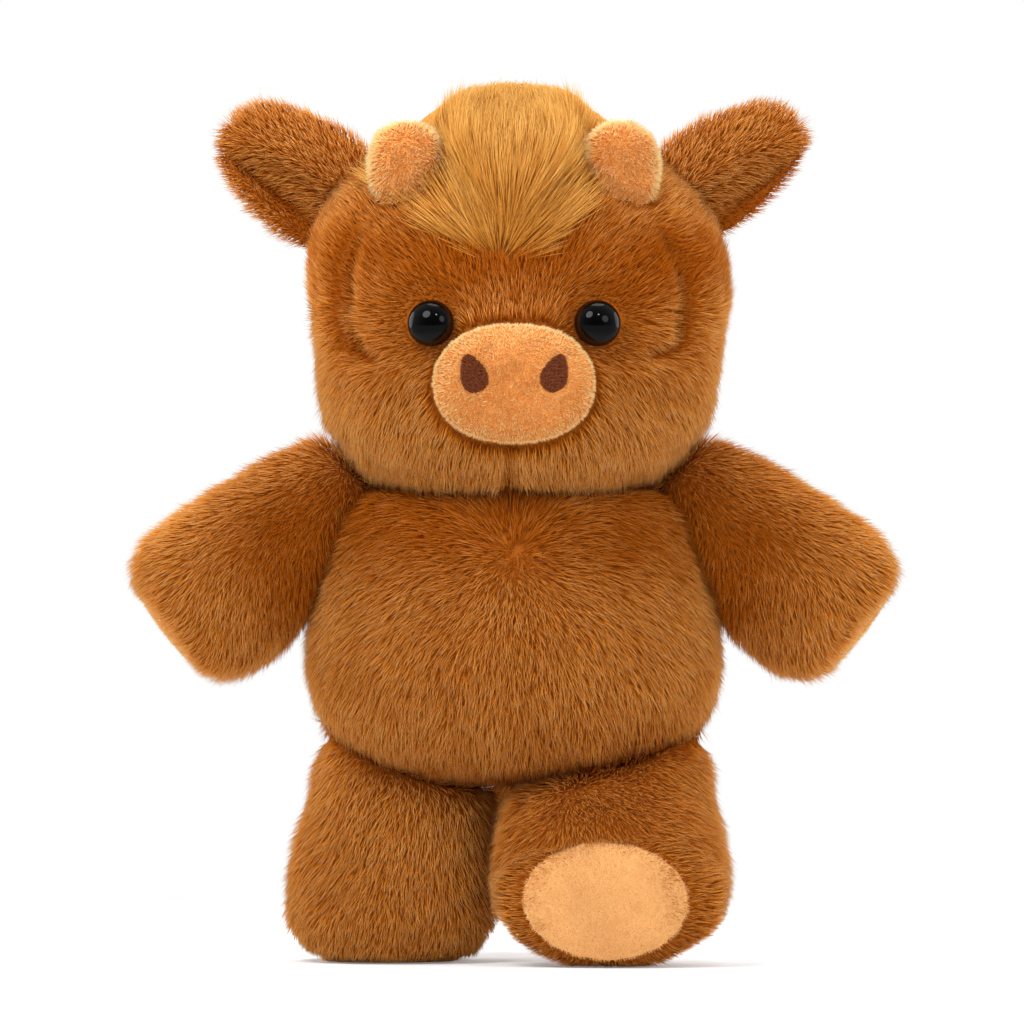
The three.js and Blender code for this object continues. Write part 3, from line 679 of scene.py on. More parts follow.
def finishSkin(skin, slot, body, stands, blend=None):
    skin.data.materials.clear()
    skin.data.materials.append(clothOf[slot])
    shadeSmooth(skin.data)
    skin.data.update()
    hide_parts(*stands)
    carry(skin, body, blend)


# Head. Lines on the face are places across and up; the first of a pair is on the toy's right.
head = {
    "voxel": 0.0021, "depth": 0.0024,
    "creases": (
        [(-0.0500, 0.2480), (-0.0545, 0.2400), (-0.0568, 0.2300), (-0.0569, 0.2173), (-0.0550, 0.2092)],
        [(0.0436, 0.2505), (0.0520, 0.2420), (0.0560, 0.2325), (0.0566, 0.2230), (0.0555, 0.2136)],
    ),
    "folds": (
        [(-0.0550, 0.2092), (-0.0510, 0.2065), (-0.0455, 0.2052)],
        [(0.0560, 0.2100), (0.0510, 0.2075), (0.0460, 0.2065)],
    ),
    "chinSeam": [(-0.0015, 0.1625), (-0.0015, 0.1745)],
    "creaseDepth": 0.0048, "creaseWidth": 0.0021, "foldDepth": 0.0026, "foldWidth": 0.0022,
    "seamDepth": 0.0024, "seamWidth": 0.0024, "lipSwell": 0.0012, "lipAway": 0.0070, "lipWidth": 0.0045,
    "creaseTop": (0.250, 0.238), "foldLipAway": 0.008, "foldLipWidth": 0.005, "foldLipTop": (0.2060, 0.2010),
    "jowl": {"swell": 0.0020, "height": 0.184, "tall": 0.013, "across": (0.02, 0.045)},
    "brow": {"swell": 0.0006, "height": 0.236, "tall": 0.010, "across": (0.06, 0.04)},
    "leftTemple": {"swell": 0.0026, "height": 0.228, "tall": 0.022, "across": (0.045, 0.065)},
    "socketDepth": 0.0012, "socketRadius": 0.011, "socketWidth": 0.004,
    "chinRise": 0.0010, "cornerRise": 0.0026, "chinTop": (0.190, 0.163), "corner": (0.020, 0.058),
    # how much each side of the head moves out or in at a height
    "trimFrom": (0.045, 0.062),
    "trims": {
        -1: [(0.175, -0.0034), (0.1815, -0.0032), (0.205, -0.0022), (0.2237, -0.0014), (0.245, 0.0)],
        1: [(0.175, -0.0018), (0.1815, -0.0016), (0.200, 0.0), (0.245, 0.0)],
    },
    "eyeHole": 0.0076, "snoutEdge": 0.97, "collar": 0.0009,
}
shortHair = {"places": [0.34], "widths": [1]}
headFur = {
    **shortHair, "perMm2": 1.72, "length": 0.0070, "radius": 0.00016, "flat": 0.7, "behind": 0.6,
    "lie": 69, "lieWaves": 4, "lieLoose": 7, "riseShare": 0.66, "whirl": 0.16, "whirlSize": 0.024,
    "loose": 0.2, "tuft": 7, "gather": 0.1, "spread": 0.15,
}
snoutMiddle = middleOf("snout")
eyeMiddles = [middleOf(f"eye_{side}") for side in sides]


# One on the face and zero behind it
def facing(y):
    return smoothStep(0.01, -0.015, y)


def eyeGaps(points):
    return [np.linalg.norm((points - middle)[:, [0, 2]], axis=1) for middle in eyeMiddles]


# Creases beside the eyes with a lip around them, the seam of the chin, jowls, brow and temples
def shapeHead(skin):
    points, normals = pointsOf(skin.data), normalsOf(skin.data)
    x, y, z = points.T
    move = np.zeros(len(points))
    fade = smoothStep(*head["creaseTop"], z)
    for line in head["creases"]:
        gap = frontDistance(points, line)
        places = np.array(line)[::-1]
        outside = np.abs(x) - np.abs(np.interp(z, places[:, 1], places[:, 0]))
        roll = smoothStep(0.0, 0.002, outside)
        move -= head["creaseDepth"] * bell(gap, 0, head["creaseWidth"]) * fade
        move += head["lipSwell"] * bell(gap, head["lipAway"], head["lipWidth"]) * roll * fade
    for line in head["folds"]:
        gap = frontDistance(points, line)
        lower = smoothStep(*head["foldLipTop"], z)
        move -= head["foldDepth"] * bell(gap, 0, head["foldWidth"])
        move += head["lipSwell"] * bell(gap, head["foldLipAway"], head["foldLipWidth"]) * lower
    move -= head["seamDepth"] * bell(frontDistance(points, head["chinSeam"]), 0, head["seamWidth"])
    for part in (head["jowl"], head["brow"]):
        move += part["swell"] * band(np.abs(x), z, part)
    for gap in eyeGaps(points):
        move -= head["socketDepth"] * bell(gap, head["socketRadius"], head["socketWidth"])
    swell = move * facing(y) + head["leftTemple"]["swell"] * band(x, z, head["leftTemple"])
    for sign, trim in head["trims"].items():
        heights, amounts = np.array(trim).T
        swell += np.interp(z, heights, amounts) * smoothStep(*head["trimFrom"], sign * x)
    points = points + normals * swell[:, None]
    x, y, z = points.T
    low = smoothStep(*head["chinTop"], z) * smoothStep(0.01, -0.01, y)
    rise = head["chinRise"] + head["cornerRise"] * smoothStep(*head["corner"], np.abs(x))
    points[:, 2] += rise * low
    setPoints(skin.data, points)


# Upwards on the brow, sideways beside the eyes, down on the cheeks, around the snout and down the back
def combHead(points, upward):
    x, y, z = points.T
    across = np.clip(x / 0.07, -1, 1)
    outward = np.sign(x) * smoothStep(0, 0.02, np.abs(x))
    level = np.ones(len(points))
    cheek = np.stack([0.55 * across, 0 * level, -level], axis=1)
    side = np.stack([outward, 0.25 * level, -0.28 * level], axis=1)
    brow = np.stack([0.9 * across + 0.25 * outward, 0 * level, 0.75 * level], axis=1)
    high = smoothStep(0.213, 0.232, z)[:, None]
    middle = smoothStep(0.022, 0.010, np.abs(x))[:, None] * smoothStep(0.205, 0.215, z)[:, None]
    face = side * (1 - high) + brow * high
    face = face * (1 - middle) + (unit(points - snoutMiddle) + np.array([0, 0, 0.4])) * middle
    low = smoothStep(0.214, 0.192, z)[:, None]
    flow = face * (1 - low) + cheek * low
    beside = bell(snoutShare(points), 1, 0.16)[:, None] * low
    flow = unit(flow) + 0.5 * beside * unit(points - snoutMiddle)
    behind = smoothStep(-0.005, 0.045, y)[:, None]
    return flow * (1 - behind) + np.array([0, 0.15, -1]) * behind


# 0 in the middle of the snout and 1 at its edge, seen from the front
def snoutShare(points):
    low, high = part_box("snout")
    half = (high - low) / 2
    across = np.abs(points[:, 0] - snoutMiddle[0]) / half.x
    tall = np.abs(points[:, 2] - snoutMiddle[2]) / half.z
    return (across ** 2.2 + tall ** 2.2) ** (1 / 2.2)


# The horns as they are seen: they reach further down over the brow than their seam does
horn = {
    "wide": 1.08, "tall": 1.16, "lower": 0.0022, "forward": 0.0016,
    "nearX": 0.017, "nearZ": 0.022, "hidden": 0.004,
}


def growHorn(points, side):
    middle = middleOf(f"horn_{side}")
    away = points - middle
    low = smoothStep(0.0, -0.012, away[:, 2])
    away = away * np.array([horn["wide"], 1, horn["tall"]])
    away[:, 1] -= horn["forward"] * low
    away[:, 2] -= horn["lower"]
    return middle + away


hornTrees = {side: treeOfNode(f"horn_{side}", lambda points: growHorn(points, side)) for side in sides}


# True for places that lie before a horn, seen from the front
def overHorns(points):
    over = np.zeros(len(points), bool)
    for side, tree in hornTrees.items():
        away = np.abs(points - middleOf(f"horn_{side}"))
        near = (away[:, 0] < horn["nearX"]) & (away[:, 2] < horn["nearZ"]) & (points[:, 1] < 0)
        for i in np.flatnonzero(near):
            x, y, z = points[i]
            place = tree.ray_cast(Vector((x, -0.2, z)), Vector((0, 1, 0)))[0]
            over[i] = over[i] or (place is not None and y < place.y + horn["hidden"])
    return over


# The forelock's outline on the face: a bowl that starts at the whorl and opens towards the horns
forelock = {
    "low": 0.2350, "riseLeft": 0.0275, "riseRight": 0.0215, "reach": 0.036, "bow": 1.3, "shift": -0.0035,
    "side": 0.044, "back": 0.047, "ragged": 0.0012,
}


def blondZone(points):
    x, y, z = points.T
    across = np.abs(x - forelock["shift"]) / forelock["reach"]
    rise = np.where(x > forelock["shift"], forelock["riseLeft"], forelock["riseRight"])
    edge = forelock["low"] + rise * across ** forelock["bow"]
    edge = edge + forelock["ragged"] * waves(points, 0.008, 77)
    over = smoothStep(-0.0008, 0.0008, z - edge)
    inside = smoothStep(forelock["side"] + 0.001, forelock["side"] - 0.001, np.abs(x))
    return over * inside * (y < forelock["back"])


def keepHead(points, upward):
    front = points[:, 1] < 0
    bare = (snoutShare(points) < head["snoutEdge"]) & front
    for gap in eyeGaps(points):
        bare |= (gap < head["eyeHole"]) & front
    bare |= blondZone(points) > 0.5
    flow = flatFlow(combHead(points, upward), upward)
    bare |= overHorns(points) | overHorns(points + 0.004 * flow)
    bare |= gapTo(treeOfNode("torso_cover"), points, 0.0022) < head["collar"]
    return ~bare


# Tones of the head: crease, fold, seam, eye and the shade under the hair are painted shade, brow is partly
# painted shadow, side is a painted rim light
headShade = {
    "crease": -0.9, "creaseTop": (0.252, 0.240), "fold": -0.6, "seam": -0.35, "eye": -0.2, "paintedShadeUnderHair": -0.16,
    "brow": -0.5, "browTall": 0.014, "bridge": -0.06, "bridgeHeight": 0.222, "chin": 0.1, "muzzle": 0.1,
    "side": 0.16,
}


# Painted shade in the creases, folds and chin seam, around the eyes and under the hair; a darker brow, partly
# painted shadow of the topknot and partly redder fur; paler below, with a painted rim light at the sides
def toneHead(points, upward):
    x, y, z = points.T
    front = facing(y)
    shade = mottle(points, 0.03, 0.009, 51)
    muzzle = smoothStep(0.198, 0.176, z) * smoothStep(0.062, 0.035, np.abs(x))
    shade += headShade["chin"] * smoothStep(0.205, 0.19, z) + headShade["muzzle"] * muzzle * front
    # painted rim light on the sides of the head
    shade += headShade["side"] * smoothStep(0.055, 0.068, np.abs(x))
    shade += headShade["bridge"] * bell(z, headShade["bridgeHeight"], 0.011) * bell(x, 0, 0.019) * front
    fade = smoothStep(*headShade["creaseTop"], z)
    # painted shade along the creases and folds and in the chin seam
    for line in head["creases"]:
        shade += headShade["crease"] * bell(frontDistance(points, line), 0, 0.0017) * front * fade
    for line in head["folds"]:
        shade += headShade["fold"] * bell(frontDistance(points, line), 0, 0.0018) * front
    shade += headShade["seam"] * bell(frontDistance(points, head["chinSeam"]), 0, 0.002) * front
    # darker brow: painted shadow of the topknot over fur that is itself redder there
    shade += headShade["brow"] * bell(z, head["brow"]["height"], headShade["browTall"]) * front
    # painted shade around the eyes
    for gap in eyeGaps(points):
        shade += headShade["eye"] * bell(gap, 0.008, 0.006) * front
    # painted shade under the topknot's hair
    paintedShadeUnderHair = smoothStep(0.010, 0.0, gapTo(treeOfNode("topknot"), points, 0.011))
    return shade + headShade["paintedShadeUnderHair"] * paintedShadeUnderHair


headLengths = {"eye": 0.5, "crease": 0.35, "creaseWidth": 0.003, "chin": 0.25}


# Shorter beside the eyes and in the creases, longer on the chin
def headLength(points):
    share = np.ones(len(points))
    front = points[:, 1] < 0
    for gap in eyeGaps(points):
        near = headLengths["eye"] + (1 - headLengths["eye"]) * smoothStep(0.008, 0.016, gap)
        share = np.where(front, np.minimum(share, near), share)
    for line in (*head["creases"], *head["folds"]):
        inside = bell(frontDistance(points, line), 0, headLengths["creaseWidth"])
        share *= 1 - headLengths["crease"] * inside * front
    return share * (1 + headLengths["chin"] * smoothStep(0.205, 0.185, points[:, 2]))


headPanels = ["face_fur_right", "face_fur_left", "cheek_fur_left", "cheek_fur_right", "head_back_fur"]


def headPanel(points):
    x, y = points[:, 0], points[:, 1]
    front = y < -0.028
    behind = np.where(y > 0.025, 4, np.where(x > 0, 2, 3))
    return np.where(front & (x < 0), 0, np.where(front, 1, behind))


def makeHead():
    skin = objectFrom("head_plush", hullForm(["head_cover"]))
    soften(skin, 9, head["voxel"])
    shapeHead(skin)
    sinkSkin(skin, head["depth"], ["torso_cover"])
    soften(skin, 2)
    fur = {**headFur, "lengthAt": headLength}
    growFur(skin, fur, combHead, keepHead, toneHead, "brown_plush", "head", headPanels, 11, headPanel)
    finishSkin(skin, "brown_plush", "head", ["head_cover", "head_stuffing"])
    return skin


headSkin = makeHead()
headTree = treeOf(headSkin.data)
print("head ready")


# Torso: the fur of the belly runs out from a whorl on the chest, and down on the back
torso = {
    "voxel": 0.0026, "depth": 0.0020, "whorl": np.array([0.0, -0.056, 0.140]), "whorlSize": 0.008,
    "whorlRise": 20, "collar": 0.0009,
    # the chest and seat tones are painted shade under the head and above the legs
    "chestPaintedShade": -0.42, "bellyShade": 0.08, "whorlShade": -0.2, "seatPaintedShade": -0.2,
    "chest": (0.120, 0.150), "seat": (0.074, 0.063), "bellyHeight": 0.098, "bellyTall": 0.03,
}
torsoFur = {**headFur, "perMm2": 1.52, "length": 0.0076, "lie": 71, "whirl": 0.12}


def atWhorl(points):
    return bell(np.linalg.norm(points - torso["whorl"], axis=1), 0, torso["whorlSize"])


def combTorso(points, upward):
    away = points - torso["whorl"]
    far = smoothStep(0.0, 0.075, np.linalg.norm(away, axis=1))[:, None]
    front = unit(away) * (1 - 0.55 * far) + np.array([0, 0, -1]) * (0.2 + 0.75 * far)
    swirl = np.stack([waves(points, 0.004, 65), np.zeros(len(points)), waves(points, 0.004, 66)], axis=1)
    front = front + swirl * 1.2 * atWhorl(points)[:, None]
    behind = smoothStep(-0.01, 0.02, points[:, 1])[:, None]
    return front * (1 - behind) + np.array([0, 0, -1]) * behind


def keepTorso(points, upward):
    gaps = [gapTo(treeOfNode(node), points, 0.002) for node in ("head_cover", "tail")]
    return np.minimum(*gaps) >= torso["collar"]


# Painted shade high on the chest under the head and low on the seat above the legs; lighter over the belly,
# darker at the whorl, over a mottled tone
def toneTorso(points, upward):
    z = points[:, 2]
    shade = mottle(points, 0.035, 0.01, 61)
    shade += torso["chestPaintedShade"] * smoothStep(*torso["chest"], z)
    belly = bell(z, torso["bellyHeight"], torso["bellyTall"]) * smoothStep(0, -0.03, points[:, 1])
    shade += torso["bellyShade"] * belly + torso["whorlShade"] * atWhorl(points)
    return shade + torso["seatPaintedShade"] * smoothStep(*torso["seat"], z)


def torsoPanel(points):
    return np.where(points[:, 1] > 0.012, 2, np.where(points[:, 0] > 0, 0, 1))


def makeTorso():
    skin = objectFrom("torso_plush", hullForm(["torso_cover"]))
    soften(skin, 9, torso["voxel"])
    sinkSkin(skin, torso["depth"], ["tail", "head_cover"])
    soften(skin, 2)
    fur = {**torsoFur, "lieAt": lambda points: -torso["whorlRise"] * atWhorl(points)}
    names = ["belly_fur_left", "belly_fur_right", "back_fur"]
    growFur(skin, fur, combTorso, keepTorso, toneTorso, "brown_plush", "torso", names, 12, torsoPanel)
    finishSkin(skin, "brown_plush", "torso", ["torso_cover", "torso_stuffing"])
    return skin


torsoTree = treeOf(makeTorso().data)
print("torso ready")


def jointAt(name):
    joint = next(j for j in frame["joints"] if j["name"] == name)
    return np.array(joint["pos_m"], float)


# Arms: from the seam at the shoulder to the pad of the hand
arm = {
    "voxel": 0.0022, "depth": 0.0020, "least": 0.0014, "seatReach": 0.006,
    "foldStart": -0.006, "foldEnd": 0.014, "tuck": 0.002, "tuckReach": 0.009,
    "dome": 0.0020, "domeHalf": 0.026, "domeReach": 0.012,
    "padGap": 0.0006, "intoTorso": 0.0012, "offHead": 0.0008,
    # the top tone is painted light from above, the inner tone painted shade by the shoulder
    "shade": 0.1, "topPaintedLight": 0.2, "innerPaintedShade": -0.64,
}
armFur = {**torsoFur, "perMm2": 1.6, "length": 0.0074, "lie": 68}


def armWay(side):
    start, end = (Vector(middleOf(f"{part}_{side}")) for part in ("shoulder_fold", "hand_pad"))
    return unit(np.array(end - start))


armAxis = {side: armWay(side) for side in sides}


# Rounds out the end of an arm, cover and pad alike
def domeEnd(points, side):
    away = points - middleOf(f"hand_pad_{side}")
    along = away @ armAxis[side]
    off = np.linalg.norm(away - along[:, None] * armAxis[side], axis=1)
    share = np.maximum(0, 1 - (off / arm["domeHalf"]) ** 2) * smoothStep(-arm["domeReach"], 0, along)
    return points + armAxis[side] * (arm["dome"] * share)[:, None]


def makeArm(side, seed):
    axis = armAxis[side]
    pad, cover, fold = f"hand_pad_{side}", f"arm_cover_{side}", f"shoulder_fold_{side}"
    hinge = jointAt(f"arm_raise_{side}")
    topwards = np.array([-axis[2] * sides[side], 0, abs(axis[0])])
    skin = objectFrom(f"arm_plush_{side}", hullForm([cover, fold]))
    soften(skin, 7, arm["voxel"])
    sinkSkin(skin, arm["depth"], [pad], far=arm["seatReach"], least=arm["least"])
    tuckIn(skin, arm["tuck"], arm["tuckReach"])
    soften(skin, 2)
    setPoints(skin.data, domeEnd(pointsOf(skin.data), side))
    padTree = treeOfNode(pad, lambda points: domeEnd(points, side))

    def comb(points, upward):
        atPad = smoothStep(0.012, 0.003, gapTo(padTree, points, 0.013))[:, None]
        below = smoothStep(0.008, -0.016, (points - hinge) @ topwards)[:, None] * (1 - atPad)
        return axis * (1 - 0.75 * below) + np.array([0, 0, -1.0]) * (0.4 * (1 - atPad) + 0.6 * below)

    def keep(points, upward):
        bare = gapTo(padTree, points, 0.002) < arm["padGap"]
        bare |= heightOver(torsoTree, points) < -arm["intoTorso"]
        return ~bare & (heightOver(headTree, points) >= arm["offHead"])

    # Painted light on the tops of the arms and painted shade on the inner side by the shoulder, over a
    # mottled tone
    def tone(points, upward):
        top = smoothStep(0.15, 0.75, upward[:, 2])
        inner = smoothStep(0.055, 0.008, (points - hinge) @ axis)
        shade = mottle(points, 0.03, 0.01, seed + 5) + arm["shade"] + arm["topPaintedLight"] * top
        return shade + arm["innerPaintedShade"] * inner * (1 - 0.5 * top)

    blend = {
        "to": f"arm_{side}",
        "start": tuple(hinge + axis * arm["foldStart"]),
        "end": tuple(hinge + axis * arm["foldEnd"]),
    }
    names = [f"arm_fur_{side}"]
    growFur(skin, armFur, comb, keep, tone, "brown_plush", "torso", names, seed, blend=blend)
    finishSkin(skin, "brown_plush", "torso", [cover, fold, f"arm_stuffing_{side}"], blend=blend)


makeArm("left", 20)
makeArm("right", 30)
print("arms ready")


# Legs: the left one is raised and shows its sole, so it bends and its hull is made in bands
leg = {
    "voxel": 0.0022, "depth": 0.0014, "least": 0.0010, "seatReach": 0.006,
    "foldStart": 0.010, "foldEnd": -0.014, "tuck": 0.0025, "tuckReach": 0.011,
    "bands": {"left": 5, "right": 1}, "lean": (0, 0.45, 1),
    "slim": {"left": 0.0014, "right": 0.0044}, "swell": {"left": 0.0028, "right": 0.0004},
    "meet": 0.0012, "corner": 0.0026, "footRound": 0.0026, "footHalf": 0.03,
    "soleGap": 0.0004, "intoTorso": 0.0012, "offFloor": 0.0008,
    # the hip tone is painted shade where the leg meets the body
    "hipPaintedShade": -0.3, "frontShade": 0.24, "kneeShade": -0.14, "sideShade": 0.16,
}
legFur = {
    **torsoFur, "perMm2": 1.45, "length": 0.0076, "lie": 68,
    "lengthAt": lambda points: 0.6 + 0.4 * smoothStep(0.002, 0.022, points[:, 2]),
}


# Slimmer beside the thigh, fuller beside the foot, the inner sides closer and the hip laid on the belly
def shapeLeg(skin, side, foot):
    points, normals = pointsOf(skin.data), normalsOf(skin.data)
    sideways = sides[side] * normals[:, 0]
    high = smoothStep(0.030, 0.062, points[:, 2])
    outer = smoothStep(0.4, 0.9, sideways)
    swell = leg["swell"][side] * smoothStep(0.004, 0.016, points[:, 2]) * (1 - high)
    slim = (leg["slim"][side] * high - swell) * outer
    meet = leg["meet"] * smoothStep(0.4, 0.9, -sideways)
    points = points + normals * (meet - slim)[:, None]
    points = pressOnto(torsoTree, points, leg["corner"], smoothStep(0.064, 0.078, points[:, 2]))
    if side == "right":
        away = (points - foot) * np.array([1, 1, 0])
        share = leg["footRound"] / leg["footHalf"] * smoothStep(0.016, 0.003, points[:, 2])
        points -= away * share[:, None]
    setPoints(skin.data, points)


def makeLeg(side, seed):
    sole, cover, fold = f"foot_sole_{side}", f"leg_cover_{side}", f"hip_fold_{side}"
    foot, soleTree = middleOf(sole), treeOfNode(sole)
    hinge = jointAt(f"leg_swing_{side}")
    skin = objectFrom(f"leg_plush_{side}", hullForm([cover, fold], leg["bands"][side], leg["lean"]))
    soften(skin, 7, leg["voxel"])
    sinkSkin(skin, leg["depth"], [sole], far=leg["seatReach"], least=leg["least"])
    tuckIn(skin, leg["tuck"], leg["tuckReach"])
    shapeLeg(skin, side, foot)
    soften(skin, 2)

    def comb(points, upward):
        down = np.array([0.25 * sides[side], 0, -1])
        if side == "right":
            return np.broadcast_to(down, points.shape)
        away = unit((points - foot) * np.array([1, 0.15, 1]))
        nearFoot = smoothStep(0.055, 0.02, points[:, 2] + (points[:, 1] + 0.05) * 0.6)[:, None]
        return down * (1 - nearFoot) + (away + np.array([0, -0.25, 0])) * nearFoot

    def keep(points, upward):
        bare = (gapTo(soleTree, points, 0.002) < leg["soleGap"]) | (points[:, 2] < leg["offFloor"])
        return ~bare & (heightOver(torsoTree, points) >= -leg["intoTorso"])

    # Painted shade where the leg meets the body; the standing leg lighter at the front, the raised one darker
    # high up and lighter on its outer side
    def tone(points, upward):
        shade = mottle(points, 0.03, 0.01, seed + 5)
        shade += leg["hipPaintedShade"] * smoothStep(0.012, 0.0, gapTo(torsoTree, points, 0.014))
        if side == "right":
            return shade + leg["frontShade"] * smoothStep(0.0, -0.7, upward[:, 1])
        knee = smoothStep(0.028, 0.045, points[:, 2])
        return shade + leg["kneeShade"] * knee + leg["sideShade"] * smoothStep(0.3, 0.9, upward[:, 0])

    x, y, z = hinge
    blend = {"to": f"leg_{side}", "start": (x, y, z + leg["foldStart"]), "end": (x, y, z + leg["foldEnd"])}
    names = [f"leg_fur_{side}"]
    growFur(skin, legFur, comb, keep, tone, "brown_plush", "torso", names, seed, blend=blend)
    finishSkin(skin, "brown_plush", "torso", [cover, fold, f"leg_stuffing_{side}"], blend=blend)


makeLeg("left", 40)
makeLeg("right", 50)
print("legs ready")


# Ears
ear = {
    "voxel": 0.0016, "depth": 0.0014, "way": (0.815, -0.1, 0.575), "rootReach": 0.010,
    "furrowDepth": 0.0030, "furrowStart": -0.0124, "furrowSlope": 0.125, "furrowHalf": 0.0052,
    "furrowShort": 0.45, "trim": {"left": 0.0045, "right": 0.0008}, "offHead": 0.0005,
    # the rim tone is painted rim light, the furrow tone painted shade
    "rimPaintedLight": 0.16, "furrowPaintedShade": -0.62,
}
earFur = {**torsoFur, "perMm2": 2.1, "length": 0.0062, "lie": 60, "gather": 0.14, "loose": 0.26}


def makeEar(side, seed):
    body = f"ear_{side}"
    axis = unit(np.array(ear["way"]) * np.array([sides[side], 1, 1]))
    across = unit(np.cross(axis, np.array([0, -1.0, 0])) * -sides[side])
    root = jointAt(f"ear_flop_{side}")
    skin = objectFrom(f"ear_plush_{side}", ownForm(body))
    soften(skin, 6, ear["voxel"])
    sinkSkin(skin, ear["depth"], [])
    reachDown(skin, 2 * head["depth"], ear["rootReach"])

    # one in the furrow that runs along the front near the lower edge, and is widest at the head
    def furrow(points, normals):
        away = points - root
        along = away @ axis
        offset = away @ across - (ear["furrowStart"] + ear["furrowSlope"] * along)
        width = ear["furrowHalf"] * (1 - 0.65 * smoothStep(0.0, 0.042, along))
        front = smoothStep(0.2, -0.3, normals[:, 1])
        return bell(offset, 0, width) * front * smoothStep(0.046, 0.036, along)

    points, normals = pointsOf(skin.data), normalsOf(skin.data)
    low = smoothStep(0.0, -0.018, (points - root) @ across)
    points = points + across * (ear["trim"][side] * low)[:, None]
    setPoints(skin.data, points - normals * (ear["furrowDepth"] * furrow(points, normals))[:, None])

    def comb(points, upward):
        off = (points - root) - ((points - root) @ axis)[:, None] * axis
        return axis + 0.5 * unit(off) + np.array([0, 0, -0.15])

    def keep(points, upward):
        return heightOver(headTree, points) >= ear["offHead"]

    # Painted rim light where the ear turns edge-on, and painted shade in the furrow
    def tone(points, upward):
        rim = smoothStep(0.3, 0.0, np.abs(upward[:, 1]))
        shade = mottle(points, 0.02, 0.008, seed + 5) + ear["rimPaintedLight"] * rim
        return shade + ear["furrowPaintedShade"] * furrow(points, upward)

    def lengthAt(points):
        forwards = np.tile([0.0, -1.0, 0.0], (len(points), 1))
        return 1 - ear["furrowShort"] * furrow(points, forwards)

    fur = {**earFur, "lengthAt": lengthAt}
    growFur(skin, fur, comb, keep, tone, "brown_plush", body, [f"ear_fur_{side}"], seed)
    finishSkin(skin, "brown_plush", body, [body])


makeEar("left", 60)
makeEar("right", 70)
print("ears ready")


# Topknot: long hair that runs out from a whorl on the brow and over the crest
topknot = {
    "voxel": 0.0024, "depth": 0.0038, "least": 0.0016, "whorl": np.array([-0.0050, -0.060, 0.2372]),
    "strip": 0.022, "crestFrom": 0.272, "crestTo": 0.296, "crestNarrow": 0.02, "crestFall": 0.0030,
    "crestShort": 0.45, "besideShort": 0.76, "bareSide": 0.045, "bareBelow": 0.268, "split": -0.005,
    # the crest tone is painted light from above
    "rootShade": -0.3, "crestPaintedLight": 0.24,
}
topFur = {
    "places": [0.25, 0.66], "widths": [1, 0.8],
    "perMm2": 1.5, "length": 0.0200, "radius": 0.00014, "flat": 0.7, "behind": 0.75,
    "lie": 98, "lieWaves": 3, "lieLoose": 5, "riseShare": 0.8, "whirl": 0.08, "whirlSize": 0.03,
    "loose": 0.11, "tuft": 9, "gather": 0.16, "spread": 0.16,
}
# hair that grows from the head itself and makes the topknot's edge
edgeFur = {"perMm2": 2.2, "length": 0.0180, "lie": 88, "riseShare": 0.72, "behind": 1}


# Shorter over the crest and, at the front, beside it
def crestLength(points):
    over = smoothStep(0.280, 0.292, points[:, 2])
    beside = smoothStep(0.018, 0.029, np.abs(points[:, 0])) * smoothStep(0.262, 0.272, points[:, 2])
    ahead = smoothStep(0.020, 0.006, points[:, 1])
    return (1 - topknot["crestShort"] * over) * (1 - topknot["besideShort"] * beside * ahead)


# The solid with its middle strip rounded out, sunk by the depth of the hair but not into the head
def makeTopknotSkin():
    bm = ownForm("topknot")
    points = nodePoints(["topknot"])
    addHull(bm, points[np.abs(points[:, 0]) < topknot["strip"]])
    skin = objectFrom("topknot_plush", bm)
    soften(skin, 9, topknot["voxel"])
    points = pointsOf(skin.data)
    crest = smoothStep(topknot["crestFrom"], topknot["crestTo"], points[:, 2])
    aside = smoothStep(0.012, 0.036, np.abs(points[:, 0]))
    points[:, 0] *= 1 - topknot["crestNarrow"] * crest
    points[:, 2] -= topknot["crestFall"] * crest * aside
    depth = topknot["depth"] * (1 - 0.5 * crest * (1 - aside))
    room = heightOver(headTree, points) - topknot["least"]
    depth = np.where(room > -topknot["least"], np.clip(room, 0, depth), depth)
    setPoints(skin.data, points - normalsOf(skin.data) * depth[:, None])
    soften(skin, 5, topknot["voxel"])
    reachDown(skin, head["depth"], 0.006)
    return skin


